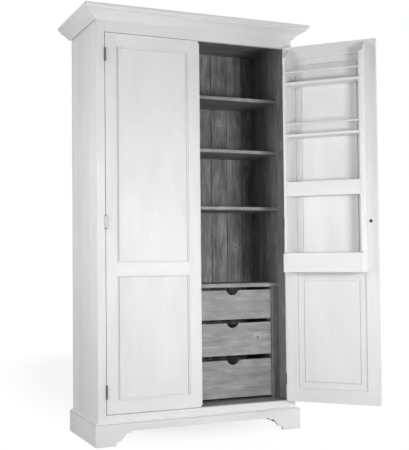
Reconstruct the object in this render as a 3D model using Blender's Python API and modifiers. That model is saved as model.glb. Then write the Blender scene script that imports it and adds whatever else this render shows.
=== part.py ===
"""Two-door pantry cupboard with shelves, three drawers and a rack inside the right door."""
import math

import bmesh
import bpy
from mathutils import Matrix, Vector

# Driving dimensions in metres. X runs to the right, Y to the back, Z up from the floor.
# Heights and depths below are measured from the floor and from the front of the face frame.
OVERALL_HEIGHT = 2.100
CARCASS_WIDTH = 1.062
CARCASS_DEPTH = 0.457
FIT = 0.0003
EASE = 0.0015

# Carcass boards
SIDE_T = 0.018
TOP_T = 0.018
FLOOR_T = 0.018
BACK_T = 0.014
BACK_PLANK_W = 0.095
BACK_JOINT_W = 0.004
BACK_JOINT_D = 0.003
HOUSING_D = 0.006
SHELF_T = 0.018
SHELF_SETBACK = 0.140
TOP_SPACE = 0.290
UPPER_SPACE = 0.260
MIDDLE_SPACE = 0.283

# Face frame
FRAME_T = 0.022
STILE_W = 0.041
TOP_RAIL_SHOW = 0.053
OPENING_BOTTOM = 0.145
FRAME_FOOT = 0.070
FLOOR_DROP = 0.002
CEILING_RISE = 0.042

# Cornice: crown fillet, small ovolo, step, cove and foot, from the top down
CORNICE_H = 0.064
CORNICE_OUT = 0.073
CORNICE_LAP = 0.048
CROWN_H = 0.010
OVOLO_H = 0.009
OVOLO_RUN = 0.012
STEP_H = 0.009
COVE_HOLLOW = 0.0025
COVE_FOOT_OUT = 0.0135
COVE_FOOT_H = 0.003

# Plinth and its bracket feet
PLINTH_H = 0.113
PLINTH_T = 0.018
PLINTH_SLOPE_RUN = 0.014
PLINTH_SLOPE_H = 0.007
FOOT_W = 0.100
TOE_RUN = 0.011
TOE_RISE = 0.020
TOE_LEDGE = 0.007
OGEE_RUN = 0.042
OGEE_RISE = 0.038
OGEE_LEDGE = 0.018
APRON_RUN = 0.011
APRON_RISE = 0.0085
BACK_RAIL_T = 0.020

# Drawer case, from the floor board up
PARTITION_T = 0.018
PARTITION_SHIFT = 0.0055
CASE_TOP_T = 0.021
CASE_SIDE_T = 0.018
CASE_SIDE_INSET = 0.0245
CASE_RETURN_D = 0.018
DRAWER_PLAY = 0.002
DRAWER_1_H = 0.1525
DRAWER_2_H = 0.1685
DRAWER_3_H = 0.1945
GAP_OVER_1 = 0.0145
GAP_1_2 = 0.0195
GAP_2_3 = 0.0245
GAP_UNDER_3 = 0.014
DRAWER_FRONT_T = 0.020
DRAWER_SIDE_T = 0.014
DRAWER_BOTTOM_T = 0.009
DRAWER_BACK_ROOM = 0.014
DRAWER_SIDE_DROP = 0.030
NOTCH_W = 0.070
NOTCH_D = 0.025
BEARER_H = 0.008
BEARER_W = 0.015

# Doors
DOOR_T = 0.022
DOOR_GAP = 0.003
DOOR_STILE_W = 0.064
DOOR_TOP_RAIL_W = 0.0675
DOOR_MID_RAIL_W = 0.075
DOOR_BOTTOM_RAIL_W = 0.0695
DOOR_MID_RAIL_UP = 0.6515
RIGHT_DOOR_OPEN = 133.0
MOULD_W = 0.0075
MOULD_QUIRK = 0.0012
MOULD_D = 0.0055
PANEL_TONGUE_T = 0.0064
PANEL_TONGUE_L = 0.007
PANEL_TONGUE_Y = 0.0083
PANEL_FRONT_BEVEL = 0.016
PANEL_FRONT_RISE = 0.0028
PANEL_BACK_BEVEL = 0.034
PANEL_BACK_RISE = 0.0048
STRIP_W = 0.035
STRIP_LAP = 0.017
STRIP_T = 0.010
STRIP_END = 0.005

# Hinges: leaf, knuckles and pin
HINGE_H = 0.058
HINGE_INSET = 0.107
LEAF_W = 0.019
LEAF_T = 0.0010
LEAF_HALF_GAP = 0.0002
BARREL_R = 0.004
BARREL_CLEAR = 0.0005
PIN_R = 0.002
PIN_HEAD = 0.0015
KNUCKLE_GAP = 0.0004

# Knob through the right door and its nut
KNOB_INSET = 0.035
KNOB_UP = 0.916
KNOB_R = 0.014
KNOB_OUT = 0.026
KNOB_NECK_R = 0.007
SHANK_R = 0.0035
NUT_R = 0.0082
NUT_T = 0.005

# Catch behind the top rail
CATCH_X = -0.140
CATCH_W = 0.050
CATCH_D = 0.020
CATCH_DROP = 0.022
CATCH_CLEAR = 0.0008

# Rack on the right door; drops are measured down from the top of the door
RACK_HINGE_INSET = 0.0255
RACK_FREE_INSET = 0.0535
RACK_SIDE_T = 0.013
RACK_D = 0.0835
RACK_BIN_D = 0.1055
RACK_TOP_DROP = 0.015
RACK_SHOULDER_H = 0.055
RACK_BIN_SIDE_H = 0.104
RACK_STEP_H = 0.012
RACK_SHELF_T = 0.014
RACK_FRONT_T = 0.010
SHELF_1_DROP = 0.2015
SHELF_2_DROP = 0.468
TRAY_DROP = 0.784
TRAY_FRONT_H = 0.0735
BIN_DROP = 1.169
BIN_FRONT_H = 0.097
ROD_R = 0.0045
ROD_UP = 0.0525
ROD_SETBACK = 0.0085
ROD_SOCKET = 0.006

# Finishes: colour, roughness, metallic
WHITE_PAINT = ((0.78, 0.78, 0.77), 0.55, 0.0)
INNER_PAINT = ((0.80, 0.80, 0.79), 0.55, 0.0)
GREY_STAIN = ((0.22, 0.22, 0.21), 0.65, 0.0)
DRAWER_STAIN = ((0.30, 0.30, 0.29), 0.62, 0.0)
IRON = ((0.07, 0.07, 0.07), 0.45, 0.9)

# Derived planes
HALF_W = CARCASS_WIDTH / 2
INNER_X = HALF_W - SIDE_T
BACK_Y = CARCASS_DEPTH - BACK_T
REAR_RAIL_Y = CARCASS_DEPTH - BACK_RAIL_T
ORIGIN_Y = CARCASS_DEPTH - BACK_RAIL_T / 2
CARCASS_TOP = OVERALL_HEIGHT - CORNICE_H + CORNICE_LAP
OPENING_TOP = OVERALL_HEIGHT - CORNICE_H - TOP_RAIL_SHOW
OPENING_X = HALF_W - STILE_W
FLOOR_TOP = OPENING_BOTTOM - FLOOR_DROP
FLOOR_UNDER = FLOOR_TOP - FLOOR_T
CEILING = OPENING_TOP + CEILING_RISE
BEHIND_FRAME = FRAME_T + FIT
BEFORE_BACK = BACK_Y - FIT
HINGE_GAP = 2 * (FIT + LEAF_T + LEAF_HALF_GAP)
PIVOT_X = OPENING_X - HINGE_GAP / 2
PIVOT_FRONT = BARREL_R + BARREL_CLEAR
DOOR_NEAR = HINGE_GAP / 2
DOOR_FAR = PIVOT_X - DOOR_GAP / 2
DOOR_BOTTOM = OPENING_BOTTOM + DOOR_GAP
DOOR_TOP = OPENING_TOP - DOOR_GAP
DOOR_BACK = PIVOT_FRONT + DOOR_T

parts = bpy.data.collections.new("pantry_cupboard")
cutters = bpy.data.collections.new("pantry_cupboard_cutters")


def clear_scene():
    for obj in list(bpy.data.objects):
        bpy.data.objects.remove(obj, do_unlink=True)
    bpy.context.scene.collection.children.link(parts)
    bpy.context.scene.collection.children.link(cutters)


def pivot(name, location, parent, turn=0.0):
    obj = bpy.data.objects.new(name, None)
    obj.empty_display_size = 0.05
    obj.parent = parent
    obj.location = location
    obj.rotation_euler = (0.0, 0.0, math.radians(turn))
    parts.objects.link(obj)
    return obj


def add(name, mesh, look, parent, location=(0, 0, 0)):
    """One named part with a material of its own."""
    colour, roughness, metallic = look
    material = bpy.data.materials.new(name + "_finish")
    material.use_nodes = True
    shader = material.node_tree.nodes["Principled BSDF"]
    shader.inputs["Base Color"].default_value = (*colour, 1.0)
    shader.inputs["Roughness"].default_value = roughness
    shader.inputs["Metallic"].default_value = metallic
    material.diffuse_color = (*colour, 1.0)
    mesh.materials.clear()
    mesh.materials.append(material)
    obj = bpy.data.objects.new(name, mesh)
    obj.parent = parent
    obj.location = location
    parts.objects.link(obj)
    return obj


def tool(name, mesh, parent, location=(0, 0, 0)):
    """A body that only cuts or joins others."""
    obj = bpy.data.objects.new(name, mesh)
    obj.parent = parent
    obj.location = location
    obj.hide_render = True
    obj.display_type = "WIRE"
    cutters.objects.link(obj)
    return obj


def combine(obj, other, operation):
    change = obj.modifiers.new(other.name, "BOOLEAN")
    change.operation = operation
    change.solver = "EXACT"
    change.object = other


def boxes(name, spans):
    """Separate rectangular blocks, each from its low to its high corner."""
    bm = bmesh.new()
    for low, high in spans:
        size = Vector(high) - Vector(low)
        centre = (Vector(high) + Vector(low)) / 2
        place = Matrix.Translation(centre) @ Matrix.Diagonal((*size, 1.0))
        bmesh.ops.create_cube(bm, size=1.0, matrix=place)
    return to_mesh(bm, name)


def to_mesh(bm, name):
    bmesh.ops.recalc_face_normals(bm, faces=bm.faces)
    mesh = bpy.data.meshes.new(name)
    bm.to_mesh(mesh)
    bm.free()
    return mesh


def board(name, low, high, look, parent, eased=()):
    """A rectangular board; eased names the edges that are softened, such as '-x-y'."""
    centre = (Vector(low) + Vector(high)) / 2
    half = (Vector(high) - Vector(low)) / 2
    obj = add(name, boxes(name, [(-half, half)]), look, parent, centre)
    if eased:
        ease(obj, eased)
    return obj


def ease(obj, corners):
    """Soften the edges where the two named sides of a rectangular board meet."""
    mesh = obj.data
    weight = mesh.attributes.new("bevel_weight_edge", "FLOAT", "EDGE")
    half = Vector(max(v.co[i] for v in mesh.vertices) for i in range(3))
    for edge in mesh.edges:
        mid = (mesh.vertices[edge.vertices[0]].co + mesh.vertices[edge.vertices[1]].co) / 2
        for corner in corners:
            sides = [(1 if corner[i] == "+" else -1, "xyz".index(corner[i + 1])) for i in (0, 2)]
            if all(abs(mid[axis] - sign * half[axis]) < 1e-6 for sign, axis in sides):
                weight.data[edge.index].value = 1.0
    soften(obj)


def soften(obj):
    bevel = obj.modifiers.new("eased_edges", "BEVEL")
    bevel.limit_method = "WEIGHT"
    bevel.width = EASE
    bevel.segments = 1


def outline(name, points, thickness, across, up):
    """A flat outline given a thickness; its first axis lies along across, its second along up."""
    curve = bpy.data.curves.new(name + "_outline", "CURVE")
    curve.dimensions = "2D"
    curve.fill_mode = "BOTH"
    curve.extrude = thickness / 2
    spline = curve.splines.new("POLY")
    spline.points.add(len(points) - 1)
    for spot, (u, v) in zip(spline.points, points):
        spot.co = (u, v, 0.0, 1.0)
    spline.use_cyclic_u = True
    holder = bpy.data.objects.new(name + "_outline", curve)
    cutters.objects.link(holder)
    bpy.context.view_layer.update()
    solid = holder.evaluated_get(bpy.context.evaluated_depsgraph_get())
    mesh = bpy.data.meshes.new_from_object(solid)
    bpy.data.objects.remove(holder, do_unlink=True)
    bpy.data.curves.remove(curve)
    mesh.name = name
    bm = bmesh.new()
    bm.from_mesh(mesh)
    bmesh.ops.remove_doubles(bm, verts=bm.verts, dist=0.00002)
    bmesh.ops.dissolve_limit(bm, angle_limit=0.001, verts=bm.verts, edges=bm.edges)
    through = Vector(across).cross(Vector(up))
    turn = Matrix((across, up, through)).transposed().to_4x4()
    bmesh.ops.transform(bm, matrix=turn, verts=bm.verts)
    bmesh.ops.recalc_face_normals(bm, faces=bm.faces)
    bm.to_mesh(mesh)
    bm.free()
    return mesh


def shift(mesh, move):
    mesh.transform(Matrix.Translation(move))
    return mesh


def mitre(mesh, point, outward):
    """Cut a straight length off at a plane and close the end."""
    bm = bmesh.new()
    bm.from_mesh(mesh)
    everything = bm.verts[:] + bm.edges[:] + bm.faces[:]
    bmesh.ops.bisect_plane(bm, geom=everything, plane_co=point, plane_no=outward, clear_outer=True)
    rim = [edge for edge in bm.edges if edge.is_boundary]
    bmesh.ops.holes_fill(bm, edges=rim, sides=0)
    bmesh.ops.recalc_face_normals(bm, faces=bm.faces)
    bm.to_mesh(mesh)
    bm.free()
    return mesh


def arc(centre, radius, start, end, steps):
    """Points on a circle between two angles in degrees."""
    angles = [math.radians(start + (end - start) * i / steps) for i in range(steps + 1)]
    return [(centre[0] + radius * math.cos(a), centre[1] + radius * math.sin(a)) for a in angles]


def stack(name, sections):
    """A closed body through rectangles (y, x0, x1, z0, z1) standing one behind another."""
    bm = bmesh.new()
    bmesh.ops.create_cube(bm, size=2.0)
    for vert in bm.verts:
        y, x0, x1, z0, z1 = sections[0] if vert.co.y < 0 else sections[1]
        vert.co = (x0 if vert.co.x < 0 else x1, y, z0 if vert.co.z < 0 else z1)
    bm.normal_update()
    last = max(bm.faces, key=lambda face: face.normal.y)
    for y, x0, x1, z0, z1 in sections[2:]:
        middle = last.calc_center_median()
        last = bmesh.ops.extrude_discrete_faces(bm, faces=[last])["faces"][0]
        for vert in last.verts:
            vert.co = (x0 if vert.co.x < middle.x else x1, y, z0 if vert.co.z < middle.z else z1)
    return to_mesh(bm, name)


def rod_mesh(name, radius, start, end, axis, steps=16):
    """Straight round bar along a main axis from start to end, centred on the axis line."""
    bm = bmesh.new()
    turn = {"x": Matrix.Rotation(math.pi / 2, 4, "Y"),
            "y": Matrix.Rotation(-math.pi / 2, 4, "X"),
            "z": Matrix.Identity(4)}[axis]
    direction = Vector([1.0 if axis == a else 0.0 for a in "xyz"])
    place = Matrix.Translation(direction * (start + end) / 2) @ turn
    bmesh.ops.create_cone(bm, cap_ends=True, segments=steps, radius1=radius, radius2=radius,
                          depth=abs(end - start), matrix=place)
    return to_mesh(bm, name)


clear_scene()
root = pivot("pantry_cupboard_root", (0, -ORIGIN_Y, 0), None)

# Heights of the inner boards: shelves hang down from the ceiling, the drawer case stands on the floor.
upper_under = CEILING - TOP_SPACE - SHELF_T
middle_under = upper_under - UPPER_SPACE - SHELF_T
lower_under = middle_under - MIDDLE_SPACE - SHELF_T
drawer_3_low = FLOOR_TOP + GAP_UNDER_3
drawer_2_low = drawer_3_low + DRAWER_3_H + GAP_2_3
drawer_1_low = drawer_2_low + DRAWER_2_H + GAP_1_2
case_under = drawer_1_low + DRAWER_1_H + GAP_OVER_1

# Side panels with stopped housings for the boards they carry.
housed = [(CEILING, TOP_T, BEHIND_FRAME), (FLOOR_UNDER, FLOOR_T, BEHIND_FRAME),
          (upper_under, SHELF_T, SHELF_SETBACK), (middle_under, SHELF_T, SHELF_SETBACK),
          (lower_under, SHELF_T, SHELF_SETBACK), (case_under, CASE_TOP_T, SHELF_SETBACK)]
for side, word in ((-1, "left"), (1, "right")):
    near, far = sorted((side * INNER_X, side * HALF_W))
    panel = board("side_panel_" + word, (near, BEHIND_FRAME, 0), (far, CARCASS_DEPTH, CARCASS_TOP),
                  WHITE_PAINT, root)
    slots = []
    for z, thick, front in housed:
        low_x, high_x = sorted((side * (INNER_X - HOUSING_D), side * (INNER_X + HOUSING_D)))
        slots.append(((low_x, front - FIT, z - FIT), (high_x, BACK_Y, z + thick + FIT)))
    combine(panel, tool("housings_" + word, boxes("housings_" + word, slots), root), "DIFFERENCE")

# Boards that run from housing to housing.
reach = INNER_X + HOUSING_D - FIT
board("top_board", (-reach, BEHIND_FRAME, CEILING), (reach, BEFORE_BACK, CEILING + TOP_T),
      GREY_STAIN, root)
board("floor_board", (-reach, BEHIND_FRAME, FLOOR_UNDER), (reach, BEFORE_BACK, FLOOR_TOP),
      GREY_STAIN, root)
for word, z, thick in (("shelf_upper", upper_under, SHELF_T), ("shelf_middle", middle_under, SHELF_T),
                       ("shelf_lower", lower_under, SHELF_T), ("drawer_case_top", case_under, CASE_TOP_T)):
    board(word, (-reach, SHELF_SETBACK, z), (reach, BEFORE_BACK, z + thick), GREY_STAIN, root,
          ("-y+z", "-y-z"))

# Boarded back between the sides, with V joints on both faces.
back_x = INNER_X - FIT
joints = int(back_x / BACK_PLANK_W)
inner_line = [(-back_x, BACK_Y)]
for i in range(-joints, joints + 1):
    x = i * BACK_PLANK_W - BACK_PLANK_W / 4
    if abs(x) < back_x - BACK_JOINT_W:
        inner_line.append((x - BACK_JOINT_W / 2, BACK_Y))
        inner_line.append((x, BACK_Y + BACK_JOINT_D))
        inner_line.append((x + BACK_JOINT_W / 2, BACK_Y))
inner_line.append((back_x, BACK_Y))
middle_y = BACK_Y + CARCASS_DEPTH
plan = inner_line + [(x, middle_y - y) for x, y in reversed(inner_line)]
back_h = CARCASS_TOP - FLOOR_UNDER
add("back_boarding", outline("back_boarding", plan, back_h, (1, 0, 0), (0, 1, 0)), GREY_STAIN, root,
    (0, 0, FLOOR_UNDER + back_h / 2))

# Face frame on the front edges of the sides.
for side, word in ((-1, "left"), (1, "right")):
    near, far = sorted((side * OPENING_X, side * HALF_W))
    board("face_stile_" + word, (near, 0, FRAME_FOOT), (far, FRAME_T, CARCASS_TOP), WHITE_PAINT, root,
          ("-x-y", "+x-y"))
rail_x = OPENING_X - FIT
board("face_top_rail", (-rail_x, 0, OPENING_TOP), (rail_x, FRAME_T, CARCASS_TOP), WHITE_PAINT, root,
      ("-y-z",))
board("face_bottom_rail", (-rail_x, 0, FRAME_FOOT), (rail_x, FRAME_T, OPENING_BOTTOM), WHITE_PAINT, root,
      ("-y+z",))

# Cornice: one moulding in three mitred lengths round the front and both sides.
cove_top = CORNICE_H - CROWN_H - OVOLO_H - STEP_H
step_out = CORNICE_OUT - OVOLO_RUN
moulding = [(FIT, 0.0), (COVE_FOOT_OUT, 0.0), (COVE_FOOT_OUT, COVE_FOOT_H)]
for i in range(1, 7):
    t = i / 6
    hollow = 4 * t * (1 - t) * COVE_HOLLOW
    moulding.append((COVE_FOOT_OUT + (step_out - COVE_FOOT_OUT) * t - hollow * 0.6,
                     COVE_FOOT_H + (cove_top - COVE_FOOT_H) * t + hollow * 0.8))
moulding.append((step_out, cove_top + STEP_H))
for i in range(1, 4):
    a = math.pi / 2 * i / 3
    moulding.append((step_out + OVOLO_RUN * math.sin(a), cove_top + STEP_H + OVOLO_H * (1 - math.cos(a))))
moulding += [(CORNICE_OUT, CORNICE_H), (FIT, CORNICE_H)]
cornice_z = OVERALL_HEIGHT - CORNICE_H


def mitred_set(names, profile, z, overhang):
    """The same profile run along the front and back along both sides, mitred at the corners."""
    cut = FIT / math.sqrt(2)
    front_len = CARCASS_WIDTH + 4 * overhang
    front = shift(outline(names[0], profile, front_len, (0, -1, 0), (0, 0, 1)), (0, 0, z))
    for side in (-1, 1):
        mitre(front, (side * (HALF_W - cut), 0, 0), (side, 1, 0))
    meshes = [front]
    side_len = CARCASS_DEPTH + 2 * overhang
    for side, name in ((-1, names[1]), (1, names[2])):
        run = outline(name, profile, side_len, (side, 0, 0), (0, 0, 1))
        shift(run, (side * HALF_W, CARCASS_DEPTH - side_len / 2, z))
        meshes.append(mitre(run, (side * (HALF_W + cut), 0, 0), (-side, -1, 0)))
    return meshes


cornice_names = ("cornice_front", "cornice_left", "cornice_right")
for name, mesh in zip(cornice_names, mitred_set(cornice_names, moulding, cornice_z, CORNICE_OUT)):
    add(name, mesh, WHITE_PAINT, root)

# Plinth boards planted round the foot of the carcass; the front one is cut to an apron and two feet.
plinth_profile = [(FIT, 0.0), (PLINTH_T, 0.0), (PLINTH_T, PLINTH_H - PLINTH_SLOPE_H),
                  (PLINTH_T - PLINTH_SLOPE_RUN, PLINTH_H), (FIT, PLINTH_H)]
plinth_names = ("plinth_front", "plinth_left", "plinth_right")
plinth = {}
for name, mesh in zip(plinth_names, mitred_set(plinth_names, plinth_profile, 0.0, PLINTH_T)):
    plinth[name] = add(name, mesh, WHITE_PAINT, root)
toe_x = HALF_W + PLINTH_T - FOOT_W
bracket = [(toe_x, -0.01)]
for i in range(5):
    a = math.pi / 2 * i / 4
    bracket.append((toe_x - TOE_RUN * (1 - math.cos(a)), TOE_RISE * math.sin(a)))
ogee_x = toe_x - TOE_RUN - TOE_LEDGE
for i in range(9):
    t = i / 8
    bracket.append((ogee_x - OGEE_RUN * t, TOE_RISE + OGEE_RISE * (3 * t * t - 2 * t ** 3)))
apron_x = ogee_x - OGEE_RUN - OGEE_LEDGE
for i in range(4):
    a = math.pi / 2 * i / 3
    bracket.append((apron_x - APRON_RUN * (1 - math.cos(a)),
                    TOE_RISE + OGEE_RISE + APRON_RISE * math.sin(a)))
arch = bracket + [(-x, z) for x, z in reversed(bracket)]
arch_cut = tool("apron_cut", outline("apron_cut", arch, PLINTH_T * 4, (1, 0, 0), (0, 0, 1)), root)
combine(plinth["plinth_front"], arch_cut, "DIFFERENCE")
board("plinth_back_rail", (-INNER_X + FIT, REAR_RAIL_Y, 0), (INNER_X - FIT, CARCASS_DEPTH, FLOOR_UNDER - FIT),
      WHITE_PAINT, root)

# Drawer case: partition and right-hand side, each with a bearer strip under every drawer.
case_low = FLOOR_TOP + FIT
case_high = case_under - FIT
case_left = PARTITION_SHIFT + PARTITION_T / 2
case_right = INNER_X - CASE_SIDE_INSET - CASE_SIDE_T
lows = {1: drawer_1_low, 2: drawer_2_low, 3: drawer_3_low}
heights = {1: DRAWER_1_H, 2: DRAWER_2_H, 3: DRAWER_3_H}
partition = board("drawer_case_partition", (case_left - PARTITION_T, SHELF_SETBACK, case_low),
                  (case_left, BEFORE_BACK, case_high), GREY_STAIN, root, ("-x-y", "+x-y"))
return_y = SHELF_SETBACK + CASE_RETURN_D
case_plan = [(case_right, SHELF_SETBACK), (INNER_X - FIT, SHELF_SETBACK), (INNER_X - FIT, return_y),
             (case_right + CASE_SIDE_T, return_y), (case_right + CASE_SIDE_T, BEFORE_BACK),
             (case_right, BEFORE_BACK)]
case_side = add("drawer_case_side",
                outline("drawer_case_side", case_plan, case_high - case_low, (1, 0, 0), (0, 1, 0)),
                GREY_STAIN, root, (0, 0, (case_low + case_high) / 2))
bearer_y = SHELF_SETBACK + DRAWER_FRONT_T + 2 * FIT
for obj, face_x, way in ((partition, case_left, 1), (case_side, case_right, -1)):
    strips = []
    for low in lows.values():
        x0, x1 = sorted((face_x - way * BEARER_H, face_x + way * BEARER_W))
        strips.append(((x0, bearer_y, low - FIT - BEARER_H), (x1, BEFORE_BACK - FIT, low - FIT)))
    combine(obj, tool(obj.name + "_bearers", boxes(obj.name + "_bearers", strips), root), "UNION")

# Drawers: a notched front and an open box whose sides stand on the bearer strips.
drawer_x0 = case_left + DRAWER_PLAY
drawer_x1 = case_right - DRAWER_PLAY
drawer_mid = (drawer_x0 + drawer_x1) / 2
box_y0 = SHELF_SETBACK + DRAWER_FRONT_T + FIT
box_y1 = BEFORE_BACK - DRAWER_BACK_ROOM
notch_r = (NOTCH_W * NOTCH_W / 4 + NOTCH_D * NOTCH_D) / (2 * NOTCH_D)
notch_half = math.degrees(math.asin(min(1.0, NOTCH_W / 2 / notch_r)))
if NOTCH_D > notch_r:
    notch_half = 180 - notch_half
for number in (1, 2, 3):
    low = lows[number]
    slide = pivot("drawer_%d_slide" % number, (drawer_mid, SHELF_SETBACK, low), root)
    half = (drawer_x1 - drawer_x0) / 2
    tall = heights[number]
    dip = arc((0, tall - NOTCH_D + notch_r), notch_r, 270 + notch_half, 270 - notch_half, 12)
    shape = [(-half, 0), (half, 0), (half, tall)] + dip + [(-half, tall)]
    front_mesh = outline("drawer_%d_front" % number, shape, DRAWER_FRONT_T, (1, 0, 0), (0, 0, 1))
    shift(front_mesh, (0, DRAWER_FRONT_T / 2, 0))
    front = add("drawer_%d_front" % number, front_mesh, DRAWER_STAIN, slide)
    weight = front_mesh.attributes.new("bevel_weight_edge", "FLOAT", "EDGE")
    for edge in front_mesh.edges:
        if all(abs(front_mesh.vertices[v].co.y) < 1e-6 for v in edge.vertices):
            weight.data[edge.index].value = 1.0
    soften(front)
    y0 = box_y0 - SHELF_SETBACK
    y1 = box_y1 - SHELF_SETBACK
    walls_top = tall - DRAWER_SIDE_DROP
    box = add("drawer_%d_box" % number,
              boxes("drawer_%d_box" % number, [((-half, y0, 0), (half, y1, walls_top))]), DRAWER_STAIN, slide)
    inside = ((-half + DRAWER_SIDE_T, y0 + DRAWER_SIDE_T, DRAWER_BOTTOM_T),
              (half - DRAWER_SIDE_T, y1 - DRAWER_SIDE_T, walls_top + 0.02))
    name = "drawer_%d_hollow" % number
    combine(box, tool(name, boxes(name, [inside]), slide), "DIFFERENCE")

# Catch block hung from the top board behind the top rail, holding the left door.
board("left_door_catch", (CATCH_X, FRAME_T + CATCH_CLEAR, OPENING_TOP - CATCH_DROP),
      (CATCH_X + CATCH_W, FRAME_T + CATCH_CLEAR + CATCH_D, CEILING - FIT), IRON, root)


def door(word, hand, hinge):
    """Framed door in its hinge's own space; hand is +1 when it reaches towards +X from the hinge."""
    def span(a, b):
        return sorted((hand * a, hand * b))

    y0 = PIVOT_FRONT
    x0, x1 = span(DOOR_NEAR, DOOR_FAR)
    frame = board(word + "_door_frame", (x0, y0, DOOR_BOTTOM), (x1, DOOR_BACK, DOOR_TOP), WHITE_PAINT, hinge,
                  ("-x-y", "+x-y", "-y-z", "-y+z"))
    panel_x0, panel_x1 = span(DOOR_NEAR + DOOR_STILE_W, DOOR_FAR - DOOR_STILE_W)
    mid_low = DOOR_BOTTOM + DOOR_MID_RAIL_UP
    windows = {"upper": (mid_low + DOOR_MID_RAIL_W, DOOR_TOP - DOOR_TOP_RAIL_W),
               "lower": (DOOR_BOTTOM + DOOR_BOTTOM_RAIL_W, mid_low)}
    tongue_y0 = y0 + PANEL_TONGUE_Y
    tongue_y1 = tongue_y0 + PANEL_TONGUE_T
    for level, (z0, z1) in windows.items():
        def ring(y, out):
            return (y, panel_x0 - out, panel_x1 + out, z0 - out, z1 + out)

        sections = [ring(y0 - 0.002, MOULD_W), ring(y0 + MOULD_QUIRK, MOULD_W)]
        for i in range(4):
            a = math.pi / 2 * i / 3
            sections.append(ring(y0 + MOULD_QUIRK + (MOULD_D - MOULD_QUIRK) * (1 - math.cos(a)),
                                 (MOULD_W - MOULD_QUIRK) * (1 - math.sin(a))))
        groove = PANEL_TONGUE_L + FIT
        sections += [ring(tongue_y0 - FIT, 0), ring(tongue_y0 - FIT, groove),
                     ring(tongue_y1 + FIT, groove), ring(tongue_y1 + FIT, 0), ring(DOOR_BACK + 0.002, 0)]
        name = "%s_door_%s_window" % (word, level)
        combine(frame, tool(name, stack(name, sections), hinge), "DIFFERENCE")
        panel = [ring(tongue_y0 - PANEL_FRONT_RISE, -FIT - PANEL_FRONT_BEVEL), ring(tongue_y0, -FIT),
                 ring(tongue_y0, PANEL_TONGUE_L), ring(tongue_y1, PANEL_TONGUE_L), ring(tongue_y1, -FIT),
                 ring(tongue_y1 + PANEL_BACK_RISE, -FIT - PANEL_BACK_BEVEL)]
        name = "%s_door_%s_panel" % (word, level)
        add(name, stack(name, panel), WHITE_PAINT, hinge)
    return frame


def knuckle(name, hand, low, high):
    """Eye of a leaf with the tab that joins it to its plate; hand is the side of the plate."""
    tab0 = LEAF_HALF_GAP
    tab1 = LEAF_HALF_GAP + LEAF_T
    start = math.degrees(math.acos(tab0 / BARREL_R))
    end = math.degrees(math.acos(tab1 / BARREL_R)) + 360
    eye = arc((0, 0), BARREL_R, start, end, 16)
    plate_in = BARREL_R + 2 * FIT
    shape = [(tab1, plate_in), (tab0, plate_in)] + eye
    shape = [(hand * x, y) for x, y in shape]
    return shift(outline(name, shape, high - low, (1, 0, 0), (0, 1, 0)), (0, 0, (low + high) / 2))


def leaf(name, hand, z, turns, hinge):
    """Hinge leaf at height z with the eyes named by turns, counted from the bottom."""
    step = (HINGE_H + KNUCKLE_GAP) / 5
    low = z - HINGE_H / 2
    plate_y0 = BARREL_R + FIT
    x0, x1 = sorted((hand * LEAF_HALF_GAP, hand * (LEAF_HALF_GAP + LEAF_T)))
    obj = add(name, boxes(name, [((x0, plate_y0, low), (x1, plate_y0 + LEAF_W, low + HINGE_H))]), IRON, hinge)
    for turn in turns:
        eye_low = low + step * turn
        eye = "%s_eye_%d" % (name, turn)
        combine(obj, tool(eye, knuckle(eye, hand, eye_low, eye_low + step - KNUCKLE_GAP), hinge), "UNION")
    return obj


def hinge_pair(word, hand, hinge, carcass_pivot):
    """Three butt hinges: leaf with pin on the face frame, leaf with two eyes on the door."""
    middle = (DOOR_BOTTOM + DOOR_TOP) / 2
    places = {"upper": DOOR_TOP - HINGE_INSET, "middle": middle, "lower": DOOR_BOTTOM + HINGE_INSET}
    for level, z in places.items():
        base = "%s_hinge_%s" % (word, level)
        low = z - HINGE_H / 2
        fixed = leaf(base + "_frame_leaf", -hand, z, (0, 2, 4), carcass_pivot)
        pin = rod_mesh(base + "_pin", PIN_R, low + FIT, low + HINGE_H + PIN_HEAD, "z")
        combine(fixed, tool(base + "_pin", pin, carcass_pivot), "UNION")
        turning = leaf(base + "_door_leaf", hand, z, (1, 3), hinge)
        bore = rod_mesh(base + "_bore", PIN_R + FIT, low - 0.01, low + HINGE_H + 0.01, "z")
        combine(turning, tool(base + "_bore", bore, hinge), "DIFFERENCE")


# Left door, closed, with the strip that its partner shuts against.
left_fixed = pivot("left_hinge_line", (-PIVOT_X, -PIVOT_FRONT, 0), root)
left_hinge = pivot("left_door_pivot", (-PIVOT_X, -PIVOT_FRONT, 0), root)
door("left", 1, left_hinge)
hinge_pair("left", 1, left_hinge, left_fixed)
strip_x1 = DOOR_FAR + STRIP_LAP
board("closing_strip", (strip_x1 - STRIP_W, DOOR_BACK + FIT, DOOR_BOTTOM + STRIP_END),
      (strip_x1, DOOR_BACK + FIT + STRIP_T, DOOR_TOP - STRIP_END), INNER_PAINT, left_hinge, ("+x-y", "+x+y"))

# Right door, standing open, with its knob and nut.
right_fixed = pivot("right_hinge_line", (PIVOT_X, -PIVOT_FRONT, 0), root)
right_hinge = pivot("right_door_pivot", (PIVOT_X, -PIVOT_FRONT, 0), root, RIGHT_DOOR_OPEN)
right_frame = door("right", -1, right_hinge)
hinge_pair("right", -1, right_hinge, right_fixed)
knob_x = -(DOOR_FAR - KNOB_INSET)
knob_z = DOOR_BOTTOM + KNOB_UP
bore = rod_mesh("knob_bore", SHANK_R + FIT, PIVOT_FRONT - 0.01, DOOR_BACK + 0.01, "y")
combine(right_frame, tool("knob_bore", bore, right_hinge, (knob_x, 0, knob_z)), "DIFFERENCE")


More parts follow.
